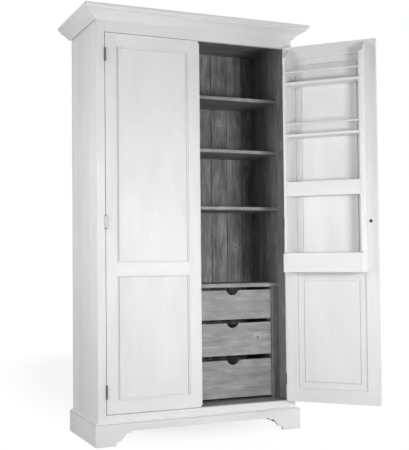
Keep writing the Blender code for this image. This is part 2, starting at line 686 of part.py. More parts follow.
def turned(name, profile, closed, look, location):
    """A turned piece: radius and height points spun round the piece's own Z axis, laid along -Y."""
    bm = bmesh.new()
    verts = [bm.verts.new((radius, 0.0, height)) for radius, height in profile]
    for i in range(len(verts) - 1):
        bm.edges.new((verts[i], verts[i + 1]))
    if closed:
        bm.edges.new((verts[-1], verts[0]))
    mesh = bpy.data.meshes.new(name)
    bm.to_mesh(mesh)
    bm.free()
    obj = add(name, mesh, look, right_hinge, location)
    obj.rotation_euler = (math.pi / 2, 0.0, 0.0)
    spin = obj.modifiers.new("turned", "SCREW")
    spin.steps = 20
    spin.render_steps = 20
    spin.use_merge_vertices = True
    spin.merge_threshold = 0.00005
    spin.use_normal_calculate = True
    spin.use_normal_flip = closed
    return obj


shank_end = -(DOOR_T + FIT + NUT_T)
head_mid = KNOB_OUT - KNOB_R * 0.6
knob_profile = [(0.0, shank_end), (SHANK_R, shank_end), (SHANK_R, FIT), (KNOB_NECK_R + 0.002, FIT),
                (KNOB_NECK_R, 0.004), (KNOB_NECK_R, head_mid - KNOB_R * 0.5)]
for a in range(-30, 90, 20):
    knob_profile.append((KNOB_R * math.cos(math.radians(a)),
                         head_mid + (KNOB_OUT - head_mid) * math.sin(math.radians(a))))
knob_profile.append((0.0, KNOB_OUT))
turned("door_knob", knob_profile, False, IRON, (knob_x, PIVOT_FRONT, knob_z))
nut_in = SHANK_R + FIT
nut_profile = [(nut_in, -FIT - NUT_T), (NUT_R, -FIT - NUT_T), (NUT_R, -FIT), (nut_in, -FIT)]
turned("knob_nut", nut_profile, True, IRON, (knob_x, DOOR_BACK, knob_z))

# Rack: two shaped sides on the door's back, with shelves, rods and fronts between them.
rack_y = DOOR_BACK + FIT
rack_outer = -(DOOR_NEAR + RACK_HINGE_INSET)
rack_inner = -(DOOR_FAR - RACK_FREE_INSET)
rack_low = DOOR_TOP - BIN_DROP
rack_high = DOOR_TOP - RACK_TOP_DROP
bin_high = rack_low + RACK_BIN_SIDE_H
shoulder = []
for i in range(7):
    t = i / 6
    shoulder.append((RACK_D * (1 - t), rack_high - RACK_SHOULDER_H * (1 - t * t * (3 - 2 * t))))
side_shape = [(0, rack_low), (RACK_BIN_D, rack_low), (RACK_BIN_D, bin_high - RACK_STEP_H),
              (RACK_D, bin_high)] + shoulder
rod_heights = [DOOR_TOP - drop + ROD_UP for drop in (SHELF_1_DROP, SHELF_2_DROP)]
rod_y = rack_y + RACK_D - ROD_SETBACK
between_x0 = rack_inner + RACK_SIDE_T + FIT
between_x1 = rack_outer - RACK_SIDE_T - FIT
for word, x in (("hinge", rack_outer - RACK_SIDE_T / 2), ("free", rack_inner + RACK_SIDE_T / 2)):
    name = "rack_side_" + word
    mesh = shift(outline(name, side_shape, RACK_SIDE_T, (0, 1, 0), (0, 0, 1)), (0, rack_y, 0))
    panel = add(name, mesh, INNER_PAINT, right_hinge, (x, 0, 0))
    for number, z in enumerate(rod_heights, 1):
        socket = rod_mesh("socket", ROD_R + FIT, between_x0 - ROD_SOCKET, between_x1 + ROD_SOCKET, "x", 12)
        hole = tool("%s_socket_%d" % (name, number), socket, right_hinge, (0, rod_y, z))
        combine(panel, hole, "DIFFERENCE")
for number, z in enumerate(rod_heights, 1):
    reach_in = ROD_SOCKET - 2 * FIT
    bar = rod_mesh("rack_rod_%d" % number, ROD_R, between_x0 - reach_in, between_x1 + reach_in, "x", 12)
    add("rack_rod_%d" % number, bar, INNER_PAINT, right_hinge, (0, rod_y, z))
for number, drop in ((1, SHELF_1_DROP), (2, SHELF_2_DROP)):
    z = DOOR_TOP - drop
    board("rack_shelf_%d" % number, (between_x0, rack_y, z - RACK_SHELF_T), (between_x1, rack_y + RACK_D, z),
          INNER_PAINT, right_hinge, ("+y+z", "+y-z"))
for word, low, depth, tall in (("tray", DOOR_TOP - TRAY_DROP, RACK_D, TRAY_FRONT_H),
                               ("bin", rack_low, RACK_BIN_D, BIN_FRONT_H)):
    front_y = rack_y + depth - RACK_FRONT_T
    board("rack_%s_front" % word, (between_x0, front_y, low), (between_x1, rack_y + depth, low + tall),
          INNER_PAINT, right_hinge, ("+y+z", "+y-z", "-y+z"))
    board("rack_%s_shelf" % word, (between_x0, rack_y, low), (between_x1, front_y - FIT, low + RACK_SHELF_T),
          INNER_PAINT, right_hinge)
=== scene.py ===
"""Pantry cupboard: painted outside, grey-stained pine inside, two doors, three drawers and a door rack."""
from math import asin, cos, pi, radians, sin

import bmesh
import bpy
from mathutils import Matrix, Vector


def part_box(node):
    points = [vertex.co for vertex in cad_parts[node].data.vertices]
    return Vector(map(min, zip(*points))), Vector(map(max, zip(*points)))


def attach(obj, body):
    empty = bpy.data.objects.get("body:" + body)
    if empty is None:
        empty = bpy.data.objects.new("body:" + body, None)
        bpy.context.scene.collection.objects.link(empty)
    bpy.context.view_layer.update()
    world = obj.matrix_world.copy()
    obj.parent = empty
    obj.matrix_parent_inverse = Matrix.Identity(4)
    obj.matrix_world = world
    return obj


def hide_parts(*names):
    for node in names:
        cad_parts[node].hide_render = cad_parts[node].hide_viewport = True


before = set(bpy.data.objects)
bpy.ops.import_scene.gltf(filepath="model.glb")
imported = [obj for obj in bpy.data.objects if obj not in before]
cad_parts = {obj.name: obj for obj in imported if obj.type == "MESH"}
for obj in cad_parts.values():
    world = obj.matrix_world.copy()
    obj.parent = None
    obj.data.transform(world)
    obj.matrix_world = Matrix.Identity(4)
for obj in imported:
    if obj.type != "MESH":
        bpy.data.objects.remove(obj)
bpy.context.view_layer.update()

# Plinth: a front board cut to an apron between two bracket feet, and a plain board down each side.
# Painted pine, mitred at the front corners, planted round the foot of the carcass; a rail closes the back.
FRONT_Y = -0.447
REAR_Y = 0.010
HALF_W = 0.531
JOINT = 0.0002
CLEAR = 0.0003
PLINTH_T = 0.018
PLINTH_H = 0.113
PLINTH_SLOPE = (0.014, 0.007)
TOE_X = 0.449
TOE = (0.011, 0.020, 0.007)
OGEE = (0.042, 0.038, 0.018)
APRON = (0.011, 0.0085)
PLINTH_GROOVE = (0.0060, 0.0034)
PLINTH_ARRIS = 0.001
PLINTH_LIP = 0.0006
SAW_BELOW = 0.02
SAW_BEHIND = 0.03
SAW_REACH = 0.08
EASE = 0.0008
SHARP_ANGLE = 40
BOARD_SHIFT = (1.37, 0.71, 0.53)
HEART_STEP = (0.618, 0.377)
HEART_ASIDE = 0.09
HEART_DEEP = (0.025, 0.06)
WHITE = (0.825, 0.825, 0.822, 1.0)
WHITE_SHADE = (0.745, 0.745, 0.742, 1.0)
show = bpy.context.scene.collection.objects.link


def wire(tree, node, inputs):
    """Links or sets each of the node's inputs."""
    for key, value in inputs.items():
        if isinstance(value, bpy.types.NodeSocket):
            tree.links.new(value, node.inputs[key])
        else:
            node.inputs[key].default_value = value


def put(tree, kind, inputs=None, **settings):
    """Adds a node with its settings and inputs, and gives its outputs back."""
    made = tree.nodes.new("ShaderNode" + kind)
    for key, value in settings.items():
        setattr(made, key, value)
    wire(tree, made, inputs or {})
    return made.outputs


def figure(tree, operation, first, second=0.0, third=0.0):
    """One sum on the numbers in a material."""
    return put(tree, "Math", {0: first, 1: second, 2: third}, operation=operation)[0]


def reach(tree, value, low, high, to_low=0.0, to_high=1.0):
    """Brings a number from one range into another."""
    return put(tree, "MapRange", {0: value, 1: low, 2: high, 3: to_low, 4: to_high})[0]


def stretched(tree, place, scale, detail=2.0, roughness=0.5):
    """Noise drawn out along the grain; scale is lumps per metre along, across and through the board."""
    spread = put(tree, "VectorMath", {0: place, 1: scale}, operation="MULTIPLY")[0]
    return put(tree, "TexNoise", {"Vector": spread, "Scale": 1.0, "Detail": detail, "Roughness": roughness})[0]


def board_places(tree):
    """Where a point lies in its own board, and the same shifted so that no two boards match."""
    grain = put(tree, "Attribute", attribute_name="grain")[1]
    number = put(tree, "Attribute", attribute_name="board")[2]
    moved = put(tree, "VectorMath", {0: BOARD_SHIFT, "Scale": number}, operation="SCALE")[0]
    return grain, put(tree, "VectorMath", {0: grain, 1: moved}, operation="ADD")[0]


def knot_distance(tree, place, spacing):
    """Distance in metres to the nearest knot; spacing is knots per metre along and across."""
    scale = (spacing[0], spacing[1], 0.0)
    cells = put(tree, "VectorMath", {0: place, 1: scale}, operation="MULTIPLY")[0]
    found = put(tree, "TexVoronoi", {"Vector": cells, "Scale": 1.0, "Randomness": 0.8}, voronoi_dimensions="2D")
    away = put(tree, "VectorMath", {0: found[2], 1: cells}, operation="SUBTRACT")[0]
    back = (0.8 / spacing[0], 1 / spacing[1], 0)
    metres = put(tree, "VectorMath", {0: away, 1: back}, operation="MULTIPLY")[0]
    return put(tree, "VectorMath", {0: metres}, operation="LENGTH")[1], found[1]


def painted_pine(name, pale, shade, streaking=1.0):
    """Satin paint brushed along the grain over pine: short soft streaks, faint patches and bristle marks."""
    paint = bpy.data.materials.new(name)
    paint.use_nodes = True
    tree = paint.node_tree
    shader = tree.nodes["Principled BSDF"]
    place = board_places(tree)[1]
    streak = stretched(tree, place, (4.5, 70, 70), 2)
    bristle = stretched(tree, place, (7, 420, 420), 2)
    patch = stretched(tree, place, (2.4, 7, 7), 3, 0.6)
    number = put(tree, "Attribute", attribute_name="board")[2]
    coat = put(tree, "TexWhiteNoise", {"W": number}, noise_dimensions="1D")[0]
    away, chance = knot_distance(tree, place, (1.6, 7.0))
    away = figure(tree, "MULTIPLY_ADD", bristle, 0.006, away)
    knot = figure(tree, "MULTIPLY", reach(tree, away, 0.005, 0.014, 1.0, 0.0), reach(tree, chance, 0.62, 0.70))
    tone = figure(tree, "MULTIPLY_ADD", streak, 0.20 * streaking, figure(tree, "MULTIPLY", bristle, 0.08))
    tone = figure(tree, "MULTIPLY_ADD", patch, 0.80, tone)
    tone = figure(tree, "MULTIPLY_ADD", coat, 0.10 * streaking, tone)
    tone = figure(tree, "MULTIPLY_ADD", knot, -0.06, tone)
    middle = 0.44 + 0.15 * streaking
    level = reach(tree, tone, middle - 0.19, middle + 0.19)
    colour = put(tree, "Mix", {0: level, 6: shade, 7: pale}, data_type="RGBA")[2]
    rough = reach(tree, patch, 0.3, 0.7, 0.60, 0.46)
    bump = put(tree, "Bump", {"Strength": 0.22, "Distance": 0.0004, "Height": bristle})[0]
    wire(tree, shader, {"Base Color": colour, "Roughness": rough, "Normal": bump, "Specular IOR Level": 0.35})
    return paint


white_paint = painted_pine("white_satin_paint", WHITE, WHITE_SHADE)


def ease(bm, kept, width, steps=2, sharp=0.6):
    """Rounds over every sharp edge added since kept, as glasspaper does, and gives the new points."""
    fresh = [face for face in bm.faces if not kept.intersection(face.verts)]
    bmesh.ops.recalc_face_normals(bm, faces=fresh)
    edges = set(edge for face in fresh for edge in face.edges)
    edges = [edge for edge in edges if len(edge.link_faces) == 2 and edge.calc_face_angle() > sharp]
    if width:
        bmesh.ops.bevel(bm, geom=edges, offset=width, segments=steps, profile=0.5, affect="EDGES",
                        clamp_overlap=True)
    return [vert for vert in bm.verts if vert not in kept]


def stock():
    """An empty mesh that keeps, for every point, its place in the grain and its board's number."""
    bm = bmesh.new()
    bm.verts.layers.float_vector.new("grain")
    bm.verts.layers.float.new("board")
    return bm


def lay_grain(bm, verts, along, number, centre=None):
    """Notes on every point where it lies along, across and through its board, and the board's number."""
    grain = bm.verts.layers.float_vector["grain"]
    board = bm.verts.layers.float["board"]
    low = [min(vert.co[i] for vert in verts) for i in range(3)]
    high = [max(vert.co[i] for vert in verts) for i in range(3)]
    middle = centre or [(a + b) / 2 for a, b in zip(low, high)]
    across, through = sorted((i for i in range(3) if i != along), key=lambda i: low[i] - high[i])
    heart = ((number * HEART_STEP[0]) % 1 - 0.5) * HEART_ASIDE
    deep = HEART_DEEP[0] + HEART_DEEP[1] * ((number * HEART_STEP[1]) % 1)
    for vert in verts:
        vert[grain] = (vert.co[along], vert.co[across] - middle[across] + heart,
                       vert.co[through] - middle[through] + deep)
        vert[board] = number


def plank(bm, low, high, along, number, round_over=EASE):
    """A straight board planed to size; along is the axis its grain follows."""
    kept = set(bm.verts)
    size = Vector(high) - Vector(low)
    place = Matrix.Translation((Vector(low) + Vector(high)) / 2) @ Matrix.Diagonal((*size, 1.0))
    bmesh.ops.create_cube(bm, size=1.0, matrix=place)
    lay_grain(bm, ease(bm, kept, round_over), along, number)


def cut_board(bm, outline, start, across, up, thickness, along, number, round_over):
    """A board cut to an outline that lies along across and up from start."""
    kept = set(bm.verts)
    across, up = Vector(across), Vector(up)
    through = across.cross(up) * thickness
    near = [bm.verts.new(Vector(start) + across * u + up * v) for u, v in outline]
    far = [bm.verts.new(vert.co + through) for vert in near]
    bm.faces.new(near)
    bm.faces.new(list(reversed(far)))
    for i in range(len(near)):
        j = (i + 1) % len(near)
        bm.faces.new((near[j], near[i], far[i], far[j]))
    lay_grain(bm, ease(bm, kept, round_over), along, number)


def moulding_run(bm, sections, along, number, centre=None):
    """A length of moulding from its first cross-section to its last."""
    kept = set(bm.verts)
    rings = [[bm.verts.new(point) for point in section] for section in sections]
    count = len(rings[0])
    for first, second in zip(rings, rings[1:]):
        for i in range(count):
            j = (i + 1) % count
            bm.faces.new((first[i], first[j], second[j], second[i]))
    bm.faces.new(rings[0])
    bm.faces.new(list(reversed(rings[-1])))
    lay_grain(bm, ease(bm, kept, 0.0), along, number, centre)


def mitred(profile, foot, side=0):
    """The end sections of a length across the front, or down one side, cut to the mitre at the corner."""
    if side == 0:
        return [[(end * (HALF_W + out - JOINT), FRONT_Y - out, foot + h) for out, h in profile]
                for end in (-1, 1)]
    return [[(side * (HALF_W + out), FRONT_Y - out + JOINT, foot + h) for out, h in profile],
            [(side * (HALF_W + out), REAR_Y, foot + h) for out, h in profile]]


def fit(name, bm, finish, body, nodes=(), place=None):
    """Turns the mesh into a finished piece, fixed to its body and standing for its solids."""
    if place is not None:
        bmesh.ops.transform(bm, matrix=place, verts=bm.verts)
    mesh = bpy.data.meshes.new(name)
    bm.to_mesh(mesh)
    bm.free()
    mesh.polygons.foreach_set("use_smooth", [True] * len(mesh.polygons))
    mesh.set_sharp_from_angle(angle=radians(SHARP_ANGLE))
    for coat in finish if isinstance(finish, (list, tuple)) else [finish]:
        mesh.materials.append(coat)
    piece = bpy.data.objects.new(name, mesh)
    show(piece)
    level = piece.modifiers.new("even_shading", "WEIGHTED_NORMAL")
    level.keep_sharp = True
    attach(piece, body)
    if nodes:
        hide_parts(*nodes)


def plant(name, bm, node):
    """Fits a white piece to the carcass."""
    fit(name, bm, white_paint, "carcass", [node])


groove_low = PLINTH_H - PLINTH_SLOPE[1] - PLINTH_GROOVE[1]
groove_high = groove_low + PLINTH_GROOVE[1]
groove_out = PLINTH_T - PLINTH_GROOVE[0]
plinth_profile = [(CLEAR, 0.0), (PLINTH_T - PLINTH_ARRIS, 0.0), (PLINTH_T, PLINTH_ARRIS),
                  (PLINTH_T, groove_low - PLINTH_ARRIS),
                  (PLINTH_T - PLINTH_ARRIS * 0.3, groove_low - PLINTH_ARRIS * 0.3),
                  (PLINTH_T - PLINTH_ARRIS, groove_low), (groove_out, groove_low), (groove_out, groove_high),
                  (PLINTH_T - PLINTH_ARRIS, groove_high), (PLINTH_T - PLINTH_LIP, groove_high + PLINTH_LIP),
                  (PLINTH_T - PLINTH_SLOPE[0], PLINTH_H), (CLEAR, PLINTH_H)]
front_bm = stock()
moulding_run(front_bm, mitred(plinth_profile, 0.0), 0, 1)
arch = [(TOE_X, -SAW_BELOW)]
for i in range(11):
    a = pi / 20 * i
    arch.append((TOE_X - TOE[0] * (1 - cos(a)), TOE[1] * sin(a)))
ogee_x = TOE_X - TOE[0] - TOE[2]
for i in range(25):
    t = i / 24
    arch.append((ogee_x - OGEE[0] * t, TOE[1] + OGEE[1] * (3 * t * t - 2 * t ** 3)))
apron_x = ogee_x - OGEE[0] - OGEE[2]
for i in range(9):
    a = pi / 16 * i
    arch.append((apron_x - APRON[0] * (1 - cos(a)), TOE[1] + OGEE[1] + APRON[1] * sin(a)))
arch += [(-x, z) for x, z in reversed(arch)]


def sawn_away(bm, cutter, along, numbers):
    """Takes the cutter's shape out of a board and lays the grain again; numbers picks the board by place."""
    meshes = []
    for source in (bm, cutter):
        meshes.append(bpy.data.meshes.new("sawing"))
        bmesh.ops.recalc_face_normals(source, faces=source.faces)
        source.to_mesh(meshes[-1])
        source.free()
    work, blade = [bpy.data.objects.new("sawing", mesh) for mesh in meshes]
    for obj in (work, blade):
        show(obj)
    saw = work.modifiers.new("saw", "BOOLEAN")
    saw.operation = "DIFFERENCE"
    saw.solver = "EXACT"
    saw.object = blade
    bpy.context.view_layer.update()
    sawn = bpy.data.meshes.new_from_object(work.evaluated_get(bpy.context.evaluated_depsgraph_get()))
    cut = bmesh.new()
    cut.from_mesh(sawn)
    for obj in (work, blade):
        bpy.data.objects.remove(obj, do_unlink=True)
    for mesh in meshes + [sawn]:
        bpy.data.meshes.remove(mesh)
    groups = {}
    for vert in cut.verts:
        groups.setdefault(numbers(vert.co), []).append(vert)
    for number, verts in groups.items():
        lay_grain(cut, verts, along, number)
    return cut


blade_bm = stock()
cut_board(blade_bm, arch, (0, FRONT_Y + SAW_BEHIND, 0), (1, 0, 0), (0, 0, 1), SAW_REACH, 0, 0, 0.0)
front_bm = sawn_away(front_bm, blade_bm, 0, lambda co: 1)
plant("plinth_apron_board", front_bm, "plinth_front")
for side, word in ((-1, "left"), (1, "right")):
    bm = stock()
    moulding_run(bm, mitred(plinth_profile, 0.0, side), 1, 3 + side)
    plant("plinth_%s_board" % word, bm, "plinth_" + word)
low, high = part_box("plinth_back_rail")
bm = stock()
plank(bm, low, high, 0, 5)
plant("plinth_rear_rail", bm, "plinth_back_rail")

# Side panels: four glued pine boards each, painted outside and stained grey inside.
# Housings are cut across the inner face for the top, the floor, the shelves and the drawer case.
STAIN_DARK = (0.085, 0.085, 0.083, 1.0)
STAIN_MID = (0.260, 0.260, 0.256, 1.0)
STAIN_PALE = (0.480, 0.480, 0.473, 1.0)
SIDE_BOARDS = 4
SIDE_EASE = 0.0003
HOUSING_OPEN = 0.01
RING_W = 0.0085
TONE_MIDDLE = 0.68
HOUSED = ("top_board", "floor_board", "shelf_upper", "shelf_middle", "shelf_lower", "drawer_case_top")


def stained_pine(name, dark, middle, pale, knots=(2.2, 9.0), blotches=(3.2, 15.0), spread=0.32):
    """Rough pine under a thin grey stain that took unevenly: blotches, fibres, faint rings and knots."""
    stain = bpy.data.materials.new(name)
    stain.use_nodes = True
    tree = stain.node_tree
    shader = tree.nodes["Principled BSDF"]
    grain, place = board_places(tree)
    blotch = stretched(tree, place, (blotches[0], blotches[1], blotches[1]), 3, 0.6)
    speck = stretched(tree, place, (12, 48, 48), 3, 0.6)
    fibre = stretched(tree, place, (9, 480, 480), 3, 0.6)
    wander = stretched(tree, place, (2.3, 14, 14), 2)
    away, chance = knot_distance(tree, place, knots)
    ragged = figure(tree, "MULTIPLY_ADD", speck, 0.030, figure(tree, "ADD", away, -0.015))
    chosen = reach(tree, chance, 0.52, 0.58)
    near = figure(tree, "MULTIPLY", reach(tree, away, 0.004, 0.034, 1.0, 0.0), chosen)
    near = figure(tree, "POWER", near, 2.0)
    parts = put(tree, "SeparateXYZ", {0: grain})
    sway = figure(tree, "MULTIPLY_ADD", wander, 0.044, -0.022)
    across = figure(tree, "ADD", parts[1], sway)
    deep = figure(tree, "MULTIPLY_ADD", parts[0], 0.020, figure(tree, "ADD", parts[2], sway))
    ring = figure(tree, "SQRT", figure(tree, "ADD", figure(tree, "MULTIPLY", across, across),
                                       figure(tree, "MULTIPLY", deep, deep)))
    ring = figure(tree, "MULTIPLY_ADD", near, 0.016, ring)
    wave = figure(tree, "SINE", figure(tree, "MULTIPLY", ring, 2 * pi / RING_W))
    line = figure(tree, "MULTIPLY", figure(tree, "POWER", reach(tree, wave, -1.0, 1.0), 2.4),
                  reach(tree, blotch, 0.35, 0.65))
    number = put(tree, "Attribute", attribute_name="board")[2]
    coat = put(tree, "TexWhiteNoise", {"W": number}, noise_dimensions="1D")[0]
    tone = figure(tree, "MULTIPLY_ADD", blotch, 0.80, figure(tree, "MULTIPLY", fibre, 0.26))
    tone = figure(tree, "MULTIPLY_ADD", speck, 0.30, tone)
    tone = figure(tree, "MULTIPLY_ADD", coat, 0.08, tone)
    tone = figure(tree, "MULTIPLY_ADD", line, -0.13, tone)
    halo = figure(tree, "MULTIPLY", reach(tree, ragged, 0.004, 0.030, 1.0, 0.0), chosen)
    heart = figure(tree, "MULTIPLY", reach(tree, ragged, 0.000, 0.007, 1.0, 0.0), chosen)
    tone = figure(tree, "MULTIPLY_ADD", halo, 0.16, tone)
    tone = figure(tree, "MULTIPLY_ADD", heart, -0.50, tone)
    ramp = tree.nodes.new("ShaderNodeValToRGB")
    stops = ramp.color_ramp.elements
    stops[0].position, stops[0].color = TONE_MIDDLE - spread, dark
    stops[1].position, stops[1].color = TONE_MIDDLE + spread, pale
    stops.new(TONE_MIDDLE).color = middle
    tree.links.new(tone, ramp.inputs[0])
    rough = reach(tree, tone, 0.4, 0.9, 0.80, 0.60)
    height = figure(tree, "MULTIPLY_ADD", line, -0.5, fibre)
    bump = put(tree, "Bump", {"Strength": 0.35, "Distance": 0.0006, "Height": height})[0]
    wire(tree, shader, {"Base Color": ramp.outputs[0], "Roughness": rough, "Normal": bump,
                        "Specular IOR Level": 0.25})
    return stain


def glued(low, high, count):
    """Where each of the boards glued edge to edge begins and ends, with a hairline at every joint."""
    width = (high - low) / count
    return [(low + width * i + (JOINT / 2 if i else 0),
             low + width * (i + 1) - (JOINT / 2 if i + 1 < count else 0)) for i in range(count)]


grey_pine = stained_pine("grey_stained_pine", STAIN_DARK, STAIN_MID, STAIN_PALE)
side_paint = painted_pine("side_satin_paint", WHITE, WHITE_SHADE, 3.0)
for side, word in ((-1, "left"), (1, "right")):
    low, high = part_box("side_panel_" + word)
    width = (high.y - low.y) / SIDE_BOARDS
    bm = stock()
    for y0, y1 in glued(low.y, high.y, SIDE_BOARDS):
        plank(bm, (low.x, y0, low.z), (high.x, y1, high.z), 2, 0, SIDE_EASE)
    cutter = stock()
    for node in HOUSED:
        node_low, node_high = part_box(node)
        inner = min(abs(low.x), abs(high.x))
        xs = sorted((side * (inner - HOUSING_OPEN), side * (node_high.x + CLEAR)))
        plank(cutter, (xs[0], node_low.y - CLEAR, node_low.z - CLEAR),
              (xs[1], node_high.y + CLEAR, node_high.z + CLEAR), 2, 0, 0.0)
    first = 20 + 10 * side
    bm = sawn_away(bm, cutter, 2, lambda co: first + min(SIDE_BOARDS - 1, max(0, int((co.y - low.y) / width))))
    bm.normal_update()
    for face in bm.faces:
        face.material_index = 1 if face.normal.x * side < -0.5 else 0
    fit("side_boards_" + word, bm, [side_paint, grey_pine], "carcass", ["side_panel_" + word])

# Top, floor and boarded back: grey-stained pine. The top and the floor run into the sides' housings;
# the back is twelve upright boards with a V along each joint, nailed to the top, the shelves and the floor.
LEVEL_BOARDS = 4
LEVEL_EASE = 0.0004
BACK_PLANK_W = 0.095
BACK_LEAST = 0.004
BACK_V = (0.0026, 0.0034)
BACK_GAP = 0.0018
BACK_TONGUE = (0.0064, 0.0085)
BACK_TONGUE_L = 0.0035
BACK_GROOVE_L = 0.0042
NAIL_R = 0.0022
NAIL_PROUD = 0.0003
NAIL_IN = 0.016
NAIL_UP = 0.012
STUD_DEPTH = 0.0012
for number, node in ((40, "top_board"), (44, "floor_board")):
    low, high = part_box(node)
    width = (high.y - low.y) / LEVEL_BOARDS
    bm = stock()
    for i in range(LEVEL_BOARDS):
        plank(bm, (low.x, low.y + width * i + JOINT / 2, low.z),
              (high.x, low.y + width * (i + 1) - JOINT / 2, high.z), 0, number + i, LEVEL_EASE)
    fit(node + "_boards", bm, grey_pine, "carcass", [node])
back_pine = stained_pine("back_stained_pine", (0.070, 0.070, 0.068, 1), (0.285, 0.285, 0.281, 1),
                         (0.58, 0.58, 0.572, 1), (2.6, 10.5), (4.5, 17.0), 0.28)
low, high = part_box("back_boarding")
edges = [i * BACK_PLANK_W - BACK_PLANK_W / 4 for i in range(-5, 6)]
edges = [low.x] + [x for x in edges if low.x + BACK_LEAST < x < high.x - BACK_LEAST] + [high.x]
bm = stock()
thick = high.y - low.y
v, d = BACK_V
t0, t1 = BACK_TONGUE
for i, (x0, x1) in enumerate(zip(edges, edges[1:])):
    plan = [(x0 + CLEAR, 0), (x1 - CLEAR, 0), (x1 - CLEAR, thick), (x0 + CLEAR, thick)]
    if i:
        gap = x0 + BACK_GAP
        plan[:1] = [(gap, d), (gap + v, 0)]
        plan[-1:] = [(gap + v, thick), (gap, thick - d), (gap, t1),
                     (x0 - BACK_TONGUE_L, t1), (x0 - BACK_TONGUE_L, t0), (gap, t0)]
    if i + 2 < len(edges):
        gap = x1 - BACK_GAP
        k = plan.index((x1 - CLEAR, 0))
        plan[k:k + 2] = [(gap - v, 0), (gap, d), (gap, t0 - CLEAR),
                         (x1 - BACK_GROOVE_L, t0 - CLEAR), (x1 - BACK_GROOVE_L, t1 + CLEAR), (gap, t1 + CLEAR),
                         (gap, thick - d), (gap - v, thick)]
    cut_board(bm, plan, (0, low.y, low.z), (1, 0, 0), (0, 1, 0), high.z - low.z, 2, 60 + i, 0.0)
fit("back_boards", bm, back_pine, "carcass", ["back_boarding"])


def blacked_iron(name, colour, roughness):
    """Dark waxed iron with a faint mottle."""
    iron = bpy.data.materials.new(name)
    iron.use_nodes = True
    tree = iron.node_tree
    shader = tree.nodes["Principled BSDF"]
    where = put(tree, "TexCoord")[3]
    mottle = put(tree, "TexNoise", {"Vector": where, "Scale": 240.0, "Detail": 4.0})[0]
    pale = tuple(c * 1.7 for c in colour)
    tint = put(tree, "Mix", {0: mottle, 6: (*colour, 1), 7: (*pale, 1)}, data_type="RGBA")[2]
    rough = reach(tree, mottle, 0.3, 0.7, roughness - 0.08, roughness + 0.1)
    bump = put(tree, "Bump", {"Strength": 0.2, "Distance": 0.0003, "Height": mottle})[0]
    wire(tree, shader, {"Base Color": tint, "Roughness": rough, "Normal": bump, "Metallic": 0.85})
    return iron


def stud(bm, centre, outward, radius, proud, sides=10):
    """A small round head or plug let into the wood at centre and standing a little proud of it."""
    turned = Vector(outward).to_track_quat("Z", "Y").to_matrix().to_4x4()
    rings = [(radius, -STUD_DEPTH), (radius, proud * 0.5), (radius * 0.8, proud)]
    kept = set(bm.verts)
    loops = [[bm.verts.new((r * cos(2 * pi * i / sides), r * sin(2 * pi * i / sides), h))
              for i in range(sides)] for r, h in rings]
    for first, second in zip(loops, loops[1:]):
        for i in range(sides):
            j = (i + 1) % sides
            bm.faces.new((first[i], first[j], second[j], second[i]))
    bm.faces.new(list(reversed(loops[0])))
    bm.faces.new(loops[-1])
    verts = [vert for vert in bm.verts if vert not in kept]
    bmesh.ops.transform(bm, matrix=Matrix.Translation(centre) @ turned, verts=verts)
    return verts


nail_iron = blacked_iron("nail_iron", (0.055, 0.055, 0.055), 0.55)
bm = stock()
for x0, x1 in zip(edges, edges[1:]):
    for x in (x0 + NAIL_IN, x1 - NAIL_IN):
        for node in HOUSED:
            node_low, node_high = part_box(node)
            stud(bm, (x, high.y, (node_low.z + node_high.z) / 2), (0, 1, 0), NAIL_R, NAIL_PROUD)
        stud(bm, (x, low.y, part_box("drawer_case_top")[1].z + NAIL_UP), (0, -1, 0), NAIL_R, NAIL_PROUD)
fit("back_nails", bm, nail_iron, "carcass")

# Shelves and drawer case: three shelves set well back, and a case top, partition and side for the drawers.
# Grey-stained pine boards, rounded on the front edge; bearer strips are screwed to the case under each drawer.
SHELF_ROUND = 0.004
SHELF_BOARDS = 3
SHELF_EASE = 0.0003
# The front edges of the shelves take a paler stain: a painted highlight where they face the light.
edge_highlight_pine = stained_pine("shelf_edge_painted_highlight", (0.20, 0.20, 0.196, 1), (0.36, 0.36, 0.354, 1),
                           (0.62, 0.62, 0.61, 1), (2.2, 9.0), (7.0, 30.0))


def shelf(bm, low, high, number):
    """A shelf of three boards glued edge to edge, with its front edge rounded over."""
    r = SHELF_ROUND
    for i, (y0, y1) in enumerate(glued(low.y, high.y, SHELF_BOARDS)):
        if i:
            plank(bm, (low.x, y0, low.z), (high.x, y1, high.z), 0, number + i, SHELF_EASE)
            continue
        nose = [(y1, low.z), (y1, high.z)]
        nose += [(y0 + r - r * sin(a), high.z - r + r * cos(a))
                 for a in (pi / 12 * k for k in range(7))]
        nose += [(y0 + r - r * cos(a), low.z + r - r * sin(a))
                 for a in (pi / 12 * k for k in range(7))]
        ends = [[(x, y, z) for y, z in nose] for x in (low.x, high.x)]
        moulding_run(bm, ends, 0, number)


